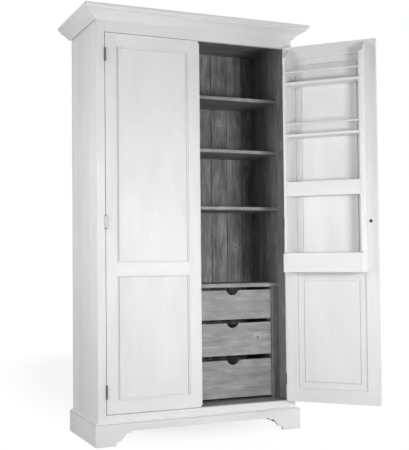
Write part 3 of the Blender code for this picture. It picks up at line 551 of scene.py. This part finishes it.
for number, node in ((80, "shelf_upper"), (84, "shelf_middle"), (88, "shelf_lower"), (92, "drawer_case_top")):
    low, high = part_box(node)
    bm = stock()
    shelf(bm, low, high, number)
    bm.normal_update()
    # The front face of each shelf's nose gets the paler stain, the painted highlight.
    for face in bm.faces:
        in_front = face.calc_center_median().y < low.y + SHELF_ROUND
        face.material_index = 1 if in_front and face.normal.y < -0.5 else 0
    fit(node + "_boards", bm, [grey_pine, edge_highlight_pine], "carcass", [node])
CASE_FACES = {"drawer_case_partition": (-0.0035, 0.0145), "drawer_case_side": (0.4705, 0.4885)}
CASE_RETURN = 0.018
CASE_BOARDS = 3
CASE_EASE = 0.0012
BEARER = (0.015, 0.008)
BEARER_BACK = 0.0206
BEARER_EASE = 0.0006
DRAWER_LOWS = (0.564, 0.376, 0.157)
for number, (node, (x0, x1)) in enumerate(CASE_FACES.items()):
    low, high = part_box(node)
    bm = stock()
    for i, (y0, y1) in enumerate(glued(low.y, high.y, CASE_BOARDS)):
        plank(bm, (x0, y0, low.z), (x1, y1, high.z), 2, 100 + 4 * number + i, CASE_EASE)
    if node == "drawer_case_side":
        plank(bm, (x1 + JOINT, low.y, low.z), (high.x, low.y + CASE_RETURN, high.z), 2, 108, CASE_EASE)
    for i, drawer_low in enumerate(DRAWER_LOWS):
        inner = (x1, x1 + BEARER[0]) if number == 0 else (x0 - BEARER[0], x0)
        plank(bm, (inner[0], low.y + BEARER_BACK, drawer_low - CLEAR - BEARER[1]),
              (inner[1], high.y - CLEAR, drawer_low - CLEAR), 1, 110 + i, BEARER_EASE)
    fit(node + "_boards", bm, grey_pine, "carcass", [node])

# Face frame: two stiles and two rails of painted pine, tenoned together and glued to the front of the carcass.
# The joints are filled and painted over, so that only a hairline shows.
FACE_EASE = 0.0012
for number, node in enumerate(("face_stile_left", "face_stile_right", "face_top_rail", "face_bottom_rail")):
    low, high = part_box(node)
    bm = stock()
    plank(bm, low, high, 2 if "stile" in node else 0, 120 + number, FACE_EASE)
    plant(node.replace("face_", "face_frame_"), bm, node)

# Cornice: one moulding worked from painted pine, a broad cove under a step, an ovolo and a crown fillet.
# Three lengths are mitred at the front corners and glued round the head of the carcass.
CORNICE_Z = 2.036
CORNICE_H = 0.064
CORNICE_OUT = 0.073
CROWN_H = 0.010
OVOLO = (0.012, 0.009)
STEP_H = 0.009
COVE_FOOT = (0.0135, 0.003)
COVE_HOLLOW = 0.0025
FOOT_REBATE = (0.0030, 0.0055)
COVE_WAY = (0.6, 0.8)
FOOT_ARRIS = 0.0006
CROWN_ARRIS = 0.0012
cove_top = CORNICE_H - CROWN_H - OVOLO[1] - STEP_H
step_out = CORNICE_OUT - OVOLO[0]
rebate_out = COVE_FOOT[0] - FOOT_REBATE[0]
profile = [(CLEAR, FOOT_REBATE[1]), (rebate_out, FOOT_REBATE[1]), (rebate_out, 0.0),
           (COVE_FOOT[0] - FOOT_ARRIS, 0.0), (COVE_FOOT[0], FOOT_ARRIS), COVE_FOOT]
for i in range(1, 21):
    t = i / 20
    hollow = 4 * t * (1 - t) * COVE_HOLLOW
    profile.append((COVE_FOOT[0] + (step_out - COVE_FOOT[0]) * t - hollow * COVE_WAY[0],
                    COVE_FOOT[1] + (cove_top - COVE_FOOT[1]) * t + hollow * COVE_WAY[1]))
profile.append((step_out, cove_top + STEP_H))
for i in range(1, 9):
    a = pi / 16 * i
    profile.append((step_out + OVOLO[0] * sin(a), cove_top + STEP_H + OVOLO[1] * (1 - cos(a))))
profile += [(CORNICE_OUT, CORNICE_H - CROWN_ARRIS),
            (CORNICE_OUT - CROWN_ARRIS / 3, CORNICE_H - CROWN_ARRIS / 3),
            (CORNICE_OUT - CROWN_ARRIS, CORNICE_H), (CLEAR, CORNICE_H)]
bm = stock()
moulding_run(bm, mitred(profile, CORNICE_Z), 0, 130)
plant("cornice_front_length", bm, "cornice_front")
for side, word in ((-1, "left"), (1, "right")):
    bm = stock()
    moulding_run(bm, mitred(profile, CORNICE_Z, side), 1, 133 + side)
    plant("cornice_%s_length" % word, bm, "cornice_" + word)

# Drawers: a front of pale stained pine with a scooped finger notch, on a box coloured almost black as painted
# shade.
# The box's sides are pinned to its ends and stand on the bearers; the bottom lies between them.
DRAWER_HEIGHTS = (0.1525, 0.1685, 0.1945)
DRAWER_X = (0.0178, 0.4672)
DRAWER_WALL = 0.014
DRAWER_BOTTOM = 0.009
NOTCH = (0.070, 0.025)
FRONT_EASE = 0.0015
PINS = 4
PIN_END = 0.018
PIN_R = NAIL_R * 0.8
PIN_PROUD = 0.0002
drawer_pine = stained_pine("drawer_stained_pine", (0.181, 0.181, 0.178, 1), (0.362, 0.362, 0.357, 1),
                           (0.579, 0.579, 0.571, 1), (3.0, 9.0), (5.0, 20.0))
# The boxes are coloured almost black: painted shade, so that the gaps round the drawers read dark.
shade_box_pine = stained_pine("drawer_box_pine", (0.040, 0.040, 0.039, 1), (0.110, 0.110, 0.108, 1),
                        (0.205, 0.205, 0.202, 1))
middle_x = sum(DRAWER_X) / 2
notch_r = (NOTCH[0] ** 2 / 4 + NOTCH[1] ** 2) / (2 * NOTCH[1])
notch_half = asin(NOTCH[0] / 2 / notch_r)
for number, (drawer_low, tall) in enumerate(zip(DRAWER_LOWS, DRAWER_HEIGHTS), 1):
    body = "drawer_%d" % number
    low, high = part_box(body + "_front")
    dip = []
    for i in range(21):
        a = notch_half * (1 - i / 10)
        dip.append((middle_x + notch_r * sin(a), tall - NOTCH[1] + notch_r * (1 - cos(a))))
    shape = [(DRAWER_X[0], 0), (DRAWER_X[1], 0), (DRAWER_X[1], tall)] + dip + [(DRAWER_X[0], tall)]
    bm = stock()
    cut_board(bm, shape, (0, high.y, drawer_low), (1, 0, 0), (0, 0, 1), high.y - low.y, 0, 140 + number,
              FRONT_EASE)
    fit(body + "_front_board", bm, drawer_pine, body, [body + "_front"])
    low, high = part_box(body + "_box")
    bm = stock()
    for i, (x0, x1) in enumerate(((low.x, low.x + DRAWER_WALL), (high.x - DRAWER_WALL, high.x))):
        plank(bm, (x0, low.y, low.z), (x1, high.y, high.z), 1, 150 + 6 * number + i)
    xs = (low.x + DRAWER_WALL + JOINT, high.x - DRAWER_WALL - JOINT)
    for i, y in enumerate((low.y, high.y - DRAWER_WALL)):
        plank(bm, (xs[0], y, low.z), (xs[1], y + DRAWER_WALL, high.z), 0, 152 + 6 * number + i)
    plank(bm, (xs[0], low.y + DRAWER_WALL + JOINT, low.z),
          (xs[1], high.y - DRAWER_WALL - JOINT, low.z + DRAWER_BOTTOM), 0, 154 + 6 * number)
    fit(body + "_box_boards", bm, shade_box_pine, body, [body + "_box"])
    bm = stock()
    for x, way in ((low.x, -1), (high.x, 1)):
        for k in range(PINS):
            z = low.z + PIN_END + (high.z - low.z - 2 * PIN_END) * k / (PINS - 1)
            for y in (low.y + DRAWER_WALL / 2, high.y - DRAWER_WALL / 2):
                stud(bm, (x, y, z), (way, 0, 0), PIN_R, PIN_PROUD)
    fit(body + "_pins", bm, nail_iron, body)

# Doors: two stiles and three rails with an ovolo worked round each opening, and two raised panels held
# in grooves. Painted pine, tenoned and pegged; the left door is shut and the right one stands open.
HINGE_LINE = (0.4885, -0.4515)
OPEN_ANGLE = 133.0
DOOR_A = (0.0015, 0.487)
DOOR_Y = (0.0045, 0.0265)
DOOR_Z = (0.148, 1.980)
DOOR_STILE = 0.064
WINDOWS = {"lower": (0.2175, 0.7995), "upper": (0.8745, 1.9125)}
OVOLO_W = 0.0075
QUIRK = (0.0019, 0.0040)
OVOLO_D = 0.0055
OVOLO_SET = 0.0006
TONGUE = (0.0098, 0.0030)
TONGUE_IN = 0.0068
PANEL_FIT = 0.0003
PANEL_FACE = 0.0055
FIELD_QUIRK = 0.0018
BACK_BEVEL = (0.0147, 0.032, 0.0018)
BACK_FIELD = 0.0195
BACK_QUIRK = (0.0022, 0.0034)
BACK_GROOVE = 0.0014
PANEL_ARRIS = 0.0003
PANEL_DRAFT = 0.0002
PEG_R = 0.0042
PEG_AT = (0.27, 0.73)
PEG_PROUD = 0.00015
PEG_SIDES = 14
swing = {"left": Matrix.Translation((-HINGE_LINE[0], HINGE_LINE[1], 0)),
         "right": Matrix.Translation((HINGE_LINE[0], HINGE_LINE[1], 0))
         @ Matrix.Rotation(radians(OPEN_ANGLE), 4, "Z")}
hands = {"left": 1, "right": -1}


def door_frame(word):
    """Stiles, rails and the mouldings stuck on their inner edges, in the door's own hinge space."""
    hand = hands[word]
    first = 200 if word == "left" else 240
    flat = DOOR_STILE - OVOLO_W
    inner = (DOOR_A[0] + flat, DOOR_A[1] - flat)
    lower, upper = WINDOWS["lower"], WINDOWS["upper"]
    rails = ((DOOR_Z[0], lower[0] - OVOLO_W), (lower[1] + OVOLO_W, upper[0] - OVOLO_W),
             (upper[1] + OVOLO_W, DOOR_Z[1]))
    bm = stock()
    centres = {}

    def member(a0, a1, z0, z1, along, number):
        xs = sorted((hand * a0, hand * a1))
        plank(bm, (xs[0], DOOR_Y[0], z0), (xs[1], DOOR_Y[1], z1), along, number, 0.0)
        centres[number] = ((xs[0] + xs[1]) / 2, sum(DOOR_Y) / 2, (z0 + z1) / 2)

    member(DOOR_A[0], inner[0], *DOOR_Z, 2, first)
    member(inner[1], DOOR_A[1], *DOOR_Z, 2, first + 1)
    for i, (z0, z1) in enumerate(rails):
        member(inner[0], inner[1], z0, z1, 0, first + 2 + i)
    crest = DOOR_Y[0] + OVOLO_SET
    ovolo_w = OVOLO_W - QUIRK[0]
    section = [(OVOLO_W, DOOR_Y[0] + QUIRK[1]), (ovolo_w, DOOR_Y[0] + QUIRK[1])]
    for i in range(9):
        a = pi / 16 * i
        section.append((ovolo_w * (1 - sin(a)), crest + OVOLO_D * (1 - cos(a))))
    section += [(0, DOOR_Y[1]), (OVOLO_W, DOOR_Y[1])]
    a0, a1 = DOOR_A[0] + DOOR_STILE, DOOR_A[1] - DOOR_STILE
    for level, (z0, z1) in enumerate(WINDOWS.values()):
        corners = [(a0, z0, -1, -1), (a1, z0, 1, -1), (a1, z1, 1, 1), (a0, z1, -1, 1)]
        owners = [first + 2 + level, first + 1, first + 3 + level, first]
        for i, number in enumerate(owners):
            ends = [[(hand * (a + sa * out), y, z + sz * out) for out, y in section]
                    for a, z, sa, sz in (corners[i], corners[(i + 1) % 4])]
            moulding_run(bm, ends, 0 if i % 2 == 0 else 2, number, centres[number])
    for a in (DOOR_A[0] + flat / 2, DOOR_A[1] - flat / 2):
        for z0, z1 in rails:
            for z in (z0 + (z1 - z0) * share for share in PEG_AT):
                for y, way in ((DOOR_Y[0], -1), (DOOR_Y[1], 1)):
                    peg = stud(bm, (hand * a, y, z), (0, way, 0), PEG_R, PEG_PROUD, PEG_SIDES)
                    lay_grain(bm, peg, 1, first + 9)
    return bm


def raised_panel(word, level):
    """A panel thinned to a tongue all round, with a flat face in front and a bevel round its field behind."""
    hand = hands[word]
    z0, z1 = WINDOWS[level]
    a0, a1 = DOOR_A[0] + DOOR_STILE, DOOR_A[1] - DOOR_STILE
    tongue0 = DOOR_Y[0] + TONGUE[0]
    tongue1 = tongue0 + TONGUE[1]
    face = DOOR_Y[0] + PANEL_FACE
    field = DOOR_Y[0] + BACK_FIELD
    foot = DOOR_Y[0] + BACK_BEVEL[0]
    edge = -PANEL_FIT - FIELD_QUIRK
    groove = -PANEL_FIT - BACK_GROOVE
    rim = -PANEL_FIT - BACK_BEVEL[1]
    ledge = rim - BACK_QUIRK[0]
    bevel = foot + BACK_BEVEL[2]
    sunk = bevel - BACK_QUIRK[1]
    steps = [(face, edge - PANEL_ARRIS * 2), (face + PANEL_ARRIS, edge - PANEL_ARRIS / 3), (tongue0, edge),
             (tongue0, TONGUE_IN), (tongue1, TONGUE_IN), (tongue1, groove), (foot, groove - PANEL_DRAFT),
             (bevel, rim), (sunk, rim - PANEL_ARRIS), (sunk, ledge),
             (field - PANEL_ARRIS, ledge - PANEL_ARRIS), (field, ledge - PANEL_ARRIS * 3)]
    rings = []
    for y, out in steps:
        rings.append([(hand * (a0 - out), y, z0 - out), (hand * (a1 + out), y, z0 - out),
                      (hand * (a1 + out), y, z1 + out), (hand * (a0 - out), y, z1 + out)])
    bm = stock()
    number = {"left": 280, "right": 290}[word] + (0 if level == "lower" else 4)
    moulding_run(bm, rings, 2, number)
    return bm


for word in ("left", "right"):
    body = word + "_door"
    fit(word + "_door_stiles_and_rails", door_frame(word), white_paint, body,
        [word + "_door_frame"], swing[word])
    for level in WINDOWS:
        node = "%s_door_%s_panel" % (word, level)
        fit(node + "_board", raised_panel(word, level), white_paint, body, [node], swing[word])

# Closing strip: a painted pine lath on the back of the left door, standing past its edge.
# It is held by five screws, and the right door shuts against it.
STRIP_EASE = 0.0018
SCREWS = 5
SCREW_END = 0.06
SCREW_IN = 0.009
SCREW_R = 0.0035
SCREW_PROUD = 0.0003
SCREW_SIDES = 14
low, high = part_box("closing_strip")
bm = stock()
plank(bm, low, high, 2, 300, STRIP_EASE)
fit("closing_strip_lath", bm, white_paint, "left_door", ["closing_strip"])
bm = stock()
for k in range(SCREWS):
    z = low.z + SCREW_END + (high.z - low.z - 2 * SCREW_END) * k / (SCREWS - 1)
    stud(bm, (low.x + SCREW_IN, high.y, z), (0, 1, 0), SCREW_R, SCREW_PROUD, SCREW_SIDES)
fit("closing_strip_screws", bm, nail_iron, "left_door")

# Hinges: three iron butts to each door, with five knuckles and a pin that ends in a small turned tip.
# One leaf is screwed to the face frame and the other to the door's edge.
# The left door's middle hinge is given a paler iron: a painted highlight for the light its barrel reflects.
HINGE_HEIGHTS = (0.255, 1.064, 1.873)
HINGE_H = 0.058
BARREL_R = 0.004
TIP = 0.007
TIP_GAPS = {"top": 0.0004, "bottom": 0.0002}
TIP_BEADS = ((0.95, 0.0), (1.0, 0.0005), (0.96, 0.0010), (0.80, 0.0018), (0.82, 0.0024))
TIP_TAPER = 1.6
hinge_iron = blacked_iron("hinge_iron", (0.075, 0.075, 0.075), 0.42)
# A paler copy of the hinge iron, a painted highlight, for the left door's middle hinge.
highlight_iron = blacked_iron("hinge_iron_painted_highlight", (0.26, 0.26, 0.257), 0.42)


def turn(bm, profile, steps=32):
    """A piece turned round its own upright axis from radius and height points."""
    rings = []
    for radius, height in profile:
        if radius < 1e-6:
            rings.append([bm.verts.new((0, 0, height))])
        else:
            turns = [2 * pi * i / steps for i in range(steps)]
            rings.append([bm.verts.new((radius * cos(a), radius * sin(a), height)) for a in turns])
    for first, second in zip(rings, rings[1:]):
        for i in range(steps):
            j = (i + 1) % steps
            corners = [ring[k % len(ring)] for ring, k in ((first, i), (first, j), (second, j), (second, i))]
            corners = list(dict.fromkeys(corners))
            if len(corners) > 2:
                bm.faces.new(corners)
    for ring in (rings[0], rings[-1]):
        if len(ring) > 1:
            bm.faces.new(ring)
    bmesh.ops.recalc_face_normals(bm, faces=bm.faces)


for word, side in (("left", -1), ("right", 1)):
    for level, z in zip(("lower", "middle", "upper"), HINGE_HEIGHTS):
        for end in ("frame_leaf", "door_leaf"):
            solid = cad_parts["%s_hinge_%s_%s" % (word, level, end)]
            solid.data.materials.clear()
            # The left door's middle hinge takes the paler iron, a painted highlight.
            solid.data.materials.append(highlight_iron if (word, level) == ("left", "middle") else hinge_iron)
        for up, name in ((1, "top"), (-1, "bottom")):
            bm = stock()
            start = HINGE_H / 2 + TIP_GAPS[name]
            tip = [(0.0, start)] + [(BARREL_R * share, start + rise) for share, rise in TIP_BEADS]
            neck, foot = TIP_BEADS[-1]
            for i in range(1, 8):
                t = i / 8
                tip.append((BARREL_R * neck * (1 - t ** TIP_TAPER), start + foot + (TIP - foot) * t))
            tip.append((0.0, start + TIP))
            turn(bm, [(r, up * h) for r, h in tip], 20)
            fit("%s_hinge_%s_%s_tip" % (word, level, name), bm, hinge_iron, "carcass", (),
                Matrix.Translation((side * HINGE_LINE[0], HINGE_LINE[1], z)))

# Rack: two shaped sides with two narrow shelves, two guard rods, a tray and a deeper bin between them.
# Painted pine, screwed to the back of the right door's stiles and rails.
RACK_Y = 0.0268
RACK_A = (0.0270, 0.4335)
RACK_SIDE_T = 0.013
RACK_D = 0.0835
BIN_D = 0.1055
RACK_Z = (0.811, 1.965)
BIN_SIDE_H = 0.104
RACK_STEP = 0.012
SHOULDER_H = 0.055
RACK_SHELF_T = 0.014
RACK_FRONT_T = 0.010
RACK_SHELVES = (1.7785, 1.512)
TRAY = (1.196, 0.0735)
BIN = (0.811, 0.097)
ROD_R = 0.0045
ROD_UP = 0.0525
ROD_BACK = 0.0085
ROD_IN = 0.0054
RACK_SIDE_EASE = 0.0010
RACK_EASE = 0.0016
# The rack's paint is a slightly paler copy of the white paint: a painted highlight that lifts it against the
# door behind.
rack_highlight_paint = painted_pine("rack_satin_paint_painted_highlight", (0.835, 0.835, 0.832, 1), (0.775, 0.775, 0.772, 1))


def hang(name, bm, node, lie=Matrix()):
    """Fits a piece of the rack to the open right door."""
    fit(name, bm, rack_highlight_paint, "right_door", [node], swing["right"] @ lie)


bin_top = RACK_Z[0] + BIN_SIDE_H
shape = [(0, RACK_Z[0]), (BIN_D, RACK_Z[0]), (BIN_D, bin_top - RACK_STEP), (RACK_D, bin_top)]
for i in range(25):
    t = i / 24
    shape.append((RACK_D * (1 - t), RACK_Z[1] - SHOULDER_H * (1 - t * t * (3 - 2 * t))))
for number, (word, x) in enumerate((("hinge", -RACK_A[0] - RACK_SIDE_T), ("free", -RACK_A[1]))):
    bm = stock()
    cut_board(bm, shape, (x, RACK_Y, 0), (0, 1, 0), (0, 0, 1), RACK_SIDE_T, 2, 310 + number, RACK_SIDE_EASE)
    hang("rack_%s_side_board" % word, bm, "rack_side_" + word)
xs = (-RACK_A[1] + RACK_SIDE_T + CLEAR, -RACK_A[0] - RACK_SIDE_T - CLEAR)
for number, z in enumerate(RACK_SHELVES, 1):
    bm = stock()
    plank(bm, (xs[0], RACK_Y, z - RACK_SHELF_T), (xs[1], RACK_Y + RACK_D, z), 0, 312 + number, RACK_EASE)
    hang("rack_shelf_%d_board" % number, bm, "rack_shelf_%d" % number)
    bm = stock()
    length = xs[1] - xs[0] + 2 * ROD_IN
    turn(bm, [(0.0, -length / 2), (ROD_R, -length / 2), (ROD_R, length / 2), (0.0, length / 2)], 24)
    lay_grain(bm, list(bm.verts), 2, 316 + number)
    rod_y = RACK_Y + RACK_D - ROD_BACK
    lie = Matrix.Translation((sum(xs) / 2, rod_y, z + ROD_UP)) @ Matrix.Rotation(pi / 2, 4, "Y")
    hang("rack_guard_rod_%d" % number, bm, "rack_rod_%d" % number, lie)
for number, (word, (z, tall), depth) in enumerate((("tray", TRAY, RACK_D), ("bin", BIN, BIN_D))):
    front_y = RACK_Y + depth - RACK_FRONT_T
    bm = stock()
    plank(bm, (xs[0], front_y, z), (xs[1], RACK_Y + depth, z + tall), 0, 320 + number, RACK_EASE)
    hang("rack_%s_front_board" % word, bm, "rack_%s_front" % word)
    bm = stock()
    plank(bm, (xs[0], RACK_Y, z), (xs[1], front_y - CLEAR, z + RACK_SHELF_T), 0, 324 + number)
    hang("rack_%s_shelf_board" % word, bm, "rack_%s_shelf" % word)

# Knob, nut and catch: a small turned iron knob on a shank through the right door, held by a nut behind,
# and an iron roller catch, screwed up under the top board, that the left door shuts against.
KNOB = (-0.452, 1.064)
KNOB_R = 0.014
KNOB_OUT = 0.026
KNOB_SHARE = 0.6
KNOB_TURN = (-35, 125)
NECK_R = 0.007
NECK_WAIST = 0.0012
NECK_FLARE = 0.0004
NECK_FOOT = 0.0030
NECK_LESS = 0.0100
COLLAR = ((0.002, 0.0003), (0.002, 0.0012), (0.0012, 0.0020))
SHANK_R = 0.0035
SHANK_L = 0.0273
WASHER_T = 0.0016
WASHER_ARRIS = 0.0004
NUT_R = 0.0082
NUT_SHARE = 0.92
NUT_T = 0.005
NUT_LESS = 0.0014
NUT_EASE = 0.0006
knob_iron = blacked_iron("knob_iron", (0.06, 0.06, 0.06), 0.38)
head = KNOB_OUT - KNOB_R * KNOB_SHARE
knob = [(0.0, -SHANK_L), (SHANK_R, -SHANK_L), (SHANK_R, CLEAR)]
knob += [(NECK_R + wider, out) for wider, out in COLLAR]
for i in range(7):
    t = i / 6
    knob.append((NECK_R - NECK_WAIST * sin(pi * t) + NECK_FLARE * t,
                 NECK_FOOT + (head - NECK_LESS) * t))
for i in range(19):
    a = radians(KNOB_TURN[0] + KNOB_TURN[1] * i / 18)
    knob.append((KNOB_R * cos(a), head + (KNOB_OUT - head) * sin(a)))
knob[-1] = (0.0, KNOB_OUT)
bm = stock()
turn(bm, knob, 40)
lay = Matrix.Rotation(pi / 2, 4, "X")
fit("door_knob_turned", bm, knob_iron, "right_door", ["door_knob"],
    swing["right"] @ Matrix.Translation((KNOB[0], DOOR_Y[0], KNOB[1])) @ lay)
bm = stock()
bore = SHANK_R + CLEAR
washer = [(bore, -CLEAR), (NUT_R, -CLEAR), (NUT_R, WASHER_ARRIS - WASHER_T), (NUT_R - WASHER_ARRIS, -WASHER_T),
          (bore, -WASHER_T)]
turn(bm, washer, 32)
behind_door = swing["right"] @ Matrix.Translation((KNOB[0], DOOR_Y[1], KNOB[1])) @ lay
fit("knob_washer", bm, knob_iron, "right_door", (), behind_door)
bm = stock()
nut_r = NUT_R * NUT_SHARE
hexagon = [(nut_r * cos(pi / 3 * i), nut_r * sin(pi / 3 * i)) for i in range(6)]
cut_board(bm, hexagon, (0, 0, -NUT_T - CLEAR), (1, 0, 0), (0, 1, 0), NUT_T - NUT_LESS, 2, 0, NUT_EASE)
fit("knob_hexagon_nut", bm, knob_iron, "right_door", ["knob_nut"], behind_door)
ROLLER_R = 0.0046
ROLLER_Z = 0.011
ROLLER_SLOT = (0.0072, 0.0112)
ROLLER_PLAY = 0.0005
ROLLER_EASE = 0.0006
ROLLER_GROOVE = (0.006, 0.005, 0.0004)
AXLE = (0.0015, 0.0020)
CATCH_BACK = 0.002
CATCH_EASE = 0.0010
CATCH_SCREW = (0.012, 0.0045, 0.0032, 0.0002)
CHEEK_T = 0.0025
CHEEK_BACK = 0.0004
CHEEK_LAP = 0.0005
CHEEK_EASE = 0.0003
catch_iron = blacked_iron("catch_metal", (0.10, 0.10, 0.10), 0.45)
low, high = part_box("left_door_catch")
axle = Vector(((low.x + high.x) / 2, low.y + ROLLER_R, low.z + ROLLER_Z))
slot_low, slot_high = axle.z - ROLLER_SLOT[0], axle.z + ROLLER_SLOT[0]
slot_back = low.y + ROLLER_SLOT[1]
face_y = low.y + CATCH_BACK
case = [(high.y, low.z), (high.y, high.z), (face_y, high.z), (face_y, slot_high), (slot_back, slot_high),
        (slot_back, slot_low), (face_y, slot_low), (face_y, low.z)]
bm = stock()
cut_board(bm, case, (low.x, 0, 0), (0, 1, 0), (0, 0, 1), high.x - low.x, 0, 0, CATCH_EASE)
for x in (low.x, high.x - CHEEK_T):
    plank(bm, (x, face_y + CHEEK_BACK, slot_low - CHEEK_LAP),
          (x + CHEEK_T, slot_back + CHEEK_LAP, slot_high + CHEEK_LAP), 0, 0, CHEEK_EASE)
inset, back, radius, proud = CATCH_SCREW
for x in (low.x + inset, high.x - inset):
    stud(bm, (x, high.y - back, low.z), (0, 0, -1), radius, proud, SCREW_SIDES)
fit("left_door_catch_case", bm, catch_iron, "carcass", ["left_door_catch"])
bm = stock()
half = (high.x - low.x) / 2 - CHEEK_T - ROLLER_PLAY
groove_from, groove_to, groove_deep = ROLLER_GROOVE
roller = [(0.0, -half - AXLE[1]), (AXLE[0], -half - AXLE[1]), (AXLE[0], -half), (ROLLER_R - ROLLER_EASE, -half),
          (ROLLER_R, -half + ROLLER_EASE), (ROLLER_R, -groove_from), (ROLLER_R - groove_deep, -groove_to)]
roller += [(r, -z) for r, z in reversed(roller)]
turn(bm, roller, 28)
fit("left_door_catch_roller", bm, knob_iron, "carcass", (),
    Matrix.Translation(axle) @ Matrix.Rotation(pi / 2, 4, "Y"))

# Studio: a plain pale floor and a white surround, which also shows in the metal.
# Five soft square lamps stand in front, close by on the left, low beside that, far right and high behind.
# The floor keeps the cupboard's shadow under and behind it, and fades to white further off.
FLOOR_SIZE = 30.0
FLOOR_WHITE = (0.50, 0.50, 0.50, 1.0)
FLOOR_SHADE = 0.35
FLOOR_GLOW = 0.71
FADE_SLANT = -0.068
FADE_MIDDLE = (0.1, 1.5)
FADE_REACH = (0.88, 2.6)
FADE_FROM = 0.40
SKY_FILL = 0.30
PLAIN_WHITE = (1, 1, 1, 1)


def looked_at(tree):
    """One for rays from the camera and off shiny faces, nought for the light that falls on things."""
    ray = put(tree, "LightPath")
    mirrored = figure(tree, "MAXIMUM", ray["Is Glossy Ray"], ray["Is Transmission Ray"])
    return figure(tree, "MAXIMUM", ray["Is Camera Ray"], mirrored)


floor_bm = bmesh.new()
bmesh.ops.create_grid(floor_bm, x_segments=1, y_segments=1, size=FLOOR_SIZE)
floor_mesh = bpy.data.meshes.new("studio_floor")
floor_bm.to_mesh(floor_mesh)
floor_bm.free()
floor = bpy.data.objects.new("studio_floor", floor_mesh)
show(floor)
floor_paint = bpy.data.materials.new("studio_floor_white")
floor_paint.use_nodes = True
tree = floor_paint.node_tree
tree.nodes.remove(tree.nodes["Principled BSDF"])
matt = put(tree, "BsdfDiffuse", {"Color": FLOOR_WHITE})[0]
place = put(tree, "SeparateXYZ", {0: put(tree, "TexCoord")[3]})
aside = figure(tree, "MULTIPLY_ADD", place[1], FADE_SLANT, figure(tree, "ADD", place[0], -FADE_MIDDLE[0]))
aside = figure(tree, "DIVIDE", aside, FADE_REACH[0])
behind = figure(tree, "DIVIDE", figure(tree, "ADD", place[1], -FADE_MIDDLE[1]), FADE_REACH[1])
away = figure(tree, "MULTIPLY_ADD", aside, aside, figure(tree, "MULTIPLY", behind, behind))
away = figure(tree, "SQRT", away)
fade = put(tree, "MapRange", {0: away, 1: FADE_FROM, 2: 1.0, 3: 1.0, 4: 0.0},
           interpolation_type="SMOOTHSTEP")[0]
grey = put(tree, "CombineXYZ", {i: figure(tree, "MULTIPLY", fade, FLOOR_SHADE) for i in range(3)})[0]
thin = put(tree, "BsdfDiffuse", {"Color": grey})[0]
strength = reach(tree, fade, 0.0, 1.0, 1.0, FLOOR_GLOW)
glow = put(tree, "Emission", {"Color": PLAIN_WHITE, "Strength": strength})[0]
white = put(tree, "AddShader", {0: thin, 1: glow})[0]
cover = put(tree, "MixShader", {0: looked_at(tree), 1: matt, 2: white})[0]
tree.links.new(cover, tree.nodes["Material Output"].inputs[0])
floor_mesh.materials.append(floor_paint)
world = bpy.data.worlds.new("studio_white")
world.use_nodes = True
tree = world.node_tree
tree.nodes.remove(tree.nodes["Background"])
fill = put(tree, "Background", {"Color": PLAIN_WHITE, "Strength": SKY_FILL})[0]
bright = put(tree, "Background", {"Color": PLAIN_WHITE, "Strength": 1.0})[0]
sky = put(tree, "MixShader", {0: looked_at(tree), 1: fill, 2: bright})[0]
tree.links.new(sky, tree.nodes["World Output"].inputs[0])
bpy.context.scene.world = world
LAMPS = (("front_lamp", (0.48, -3.1, 1.0), (0.1, 0, 0.6), 0.6, 140, 21.2),
         ("left_lamp", (-2.1, -1.0, 1.3), (-0.4, -0.2, 1.2), 1.0, 180, 20.2),
         ("door_lamp", (-1.7, -1.3, 0.9), (0.6, -0.8, 1.0), 0.5, 60, 0.60),
         ("right_lamp", (3.4, -2.7, 0.8), (0.3, -0.3, 0.9), 1.8, 180, 40.0),
         ("rear_lamp", (2.5, 2.5, 2.6), (0.2, -0.2, 1.1), 2.0, 180, 62.0))
for name, place, aim, size, spread, power in LAMPS:
    lamp = bpy.data.lights.new(name, "AREA")
    lamp.shape = "SQUARE"
    lamp.size = size
    lamp.spread = radians(spread)
    lamp.energy = power
    holder = bpy.data.objects.new(name, lamp)
    holder.location = place
    holder.rotation_euler = (Vector(aim) - Vector(place)).to_track_quat("-Z", "Y").to_euler()
    show(holder)

# Camera: at the height of the bin on the door, well to the left, turned to the right and a little up.
# A long lens, just over twice the width of its film, keeps the uprights nearly parallel.
CAMERA_PLACE = (-1.71454, -4.47193, 0.8929)
LENS = 77.05
FILM = 36.0
YAW = 0.40806
PITCH = 0.03644
ROLL = -0.00982
forward = Vector((sin(YAW) * cos(PITCH), cos(YAW) * cos(PITCH), sin(PITCH)))
level_right = Vector((cos(YAW), -sin(YAW), 0))
level_up = level_right.cross(forward)
right = level_right * cos(ROLL) + level_up * sin(ROLL)
up = level_up * cos(ROLL) - level_right * sin(ROLL)
turned = Matrix((right, up, -forward)).transposed().to_4x4()
lens = bpy.data.cameras.new("camera")
lens.lens = LENS
lens.sensor_width = FILM
lens.sensor_fit = "HORIZONTAL"
camera = bpy.data.objects.new("camera", lens)
camera.matrix_world = Matrix.Translation(CAMERA_PLACE) @ turned
show(camera)
bpy.context.scene.camera = camera
bpy.context.scene.view_settings.view_transform = "Standard"
bpy.context.view_layer.update()
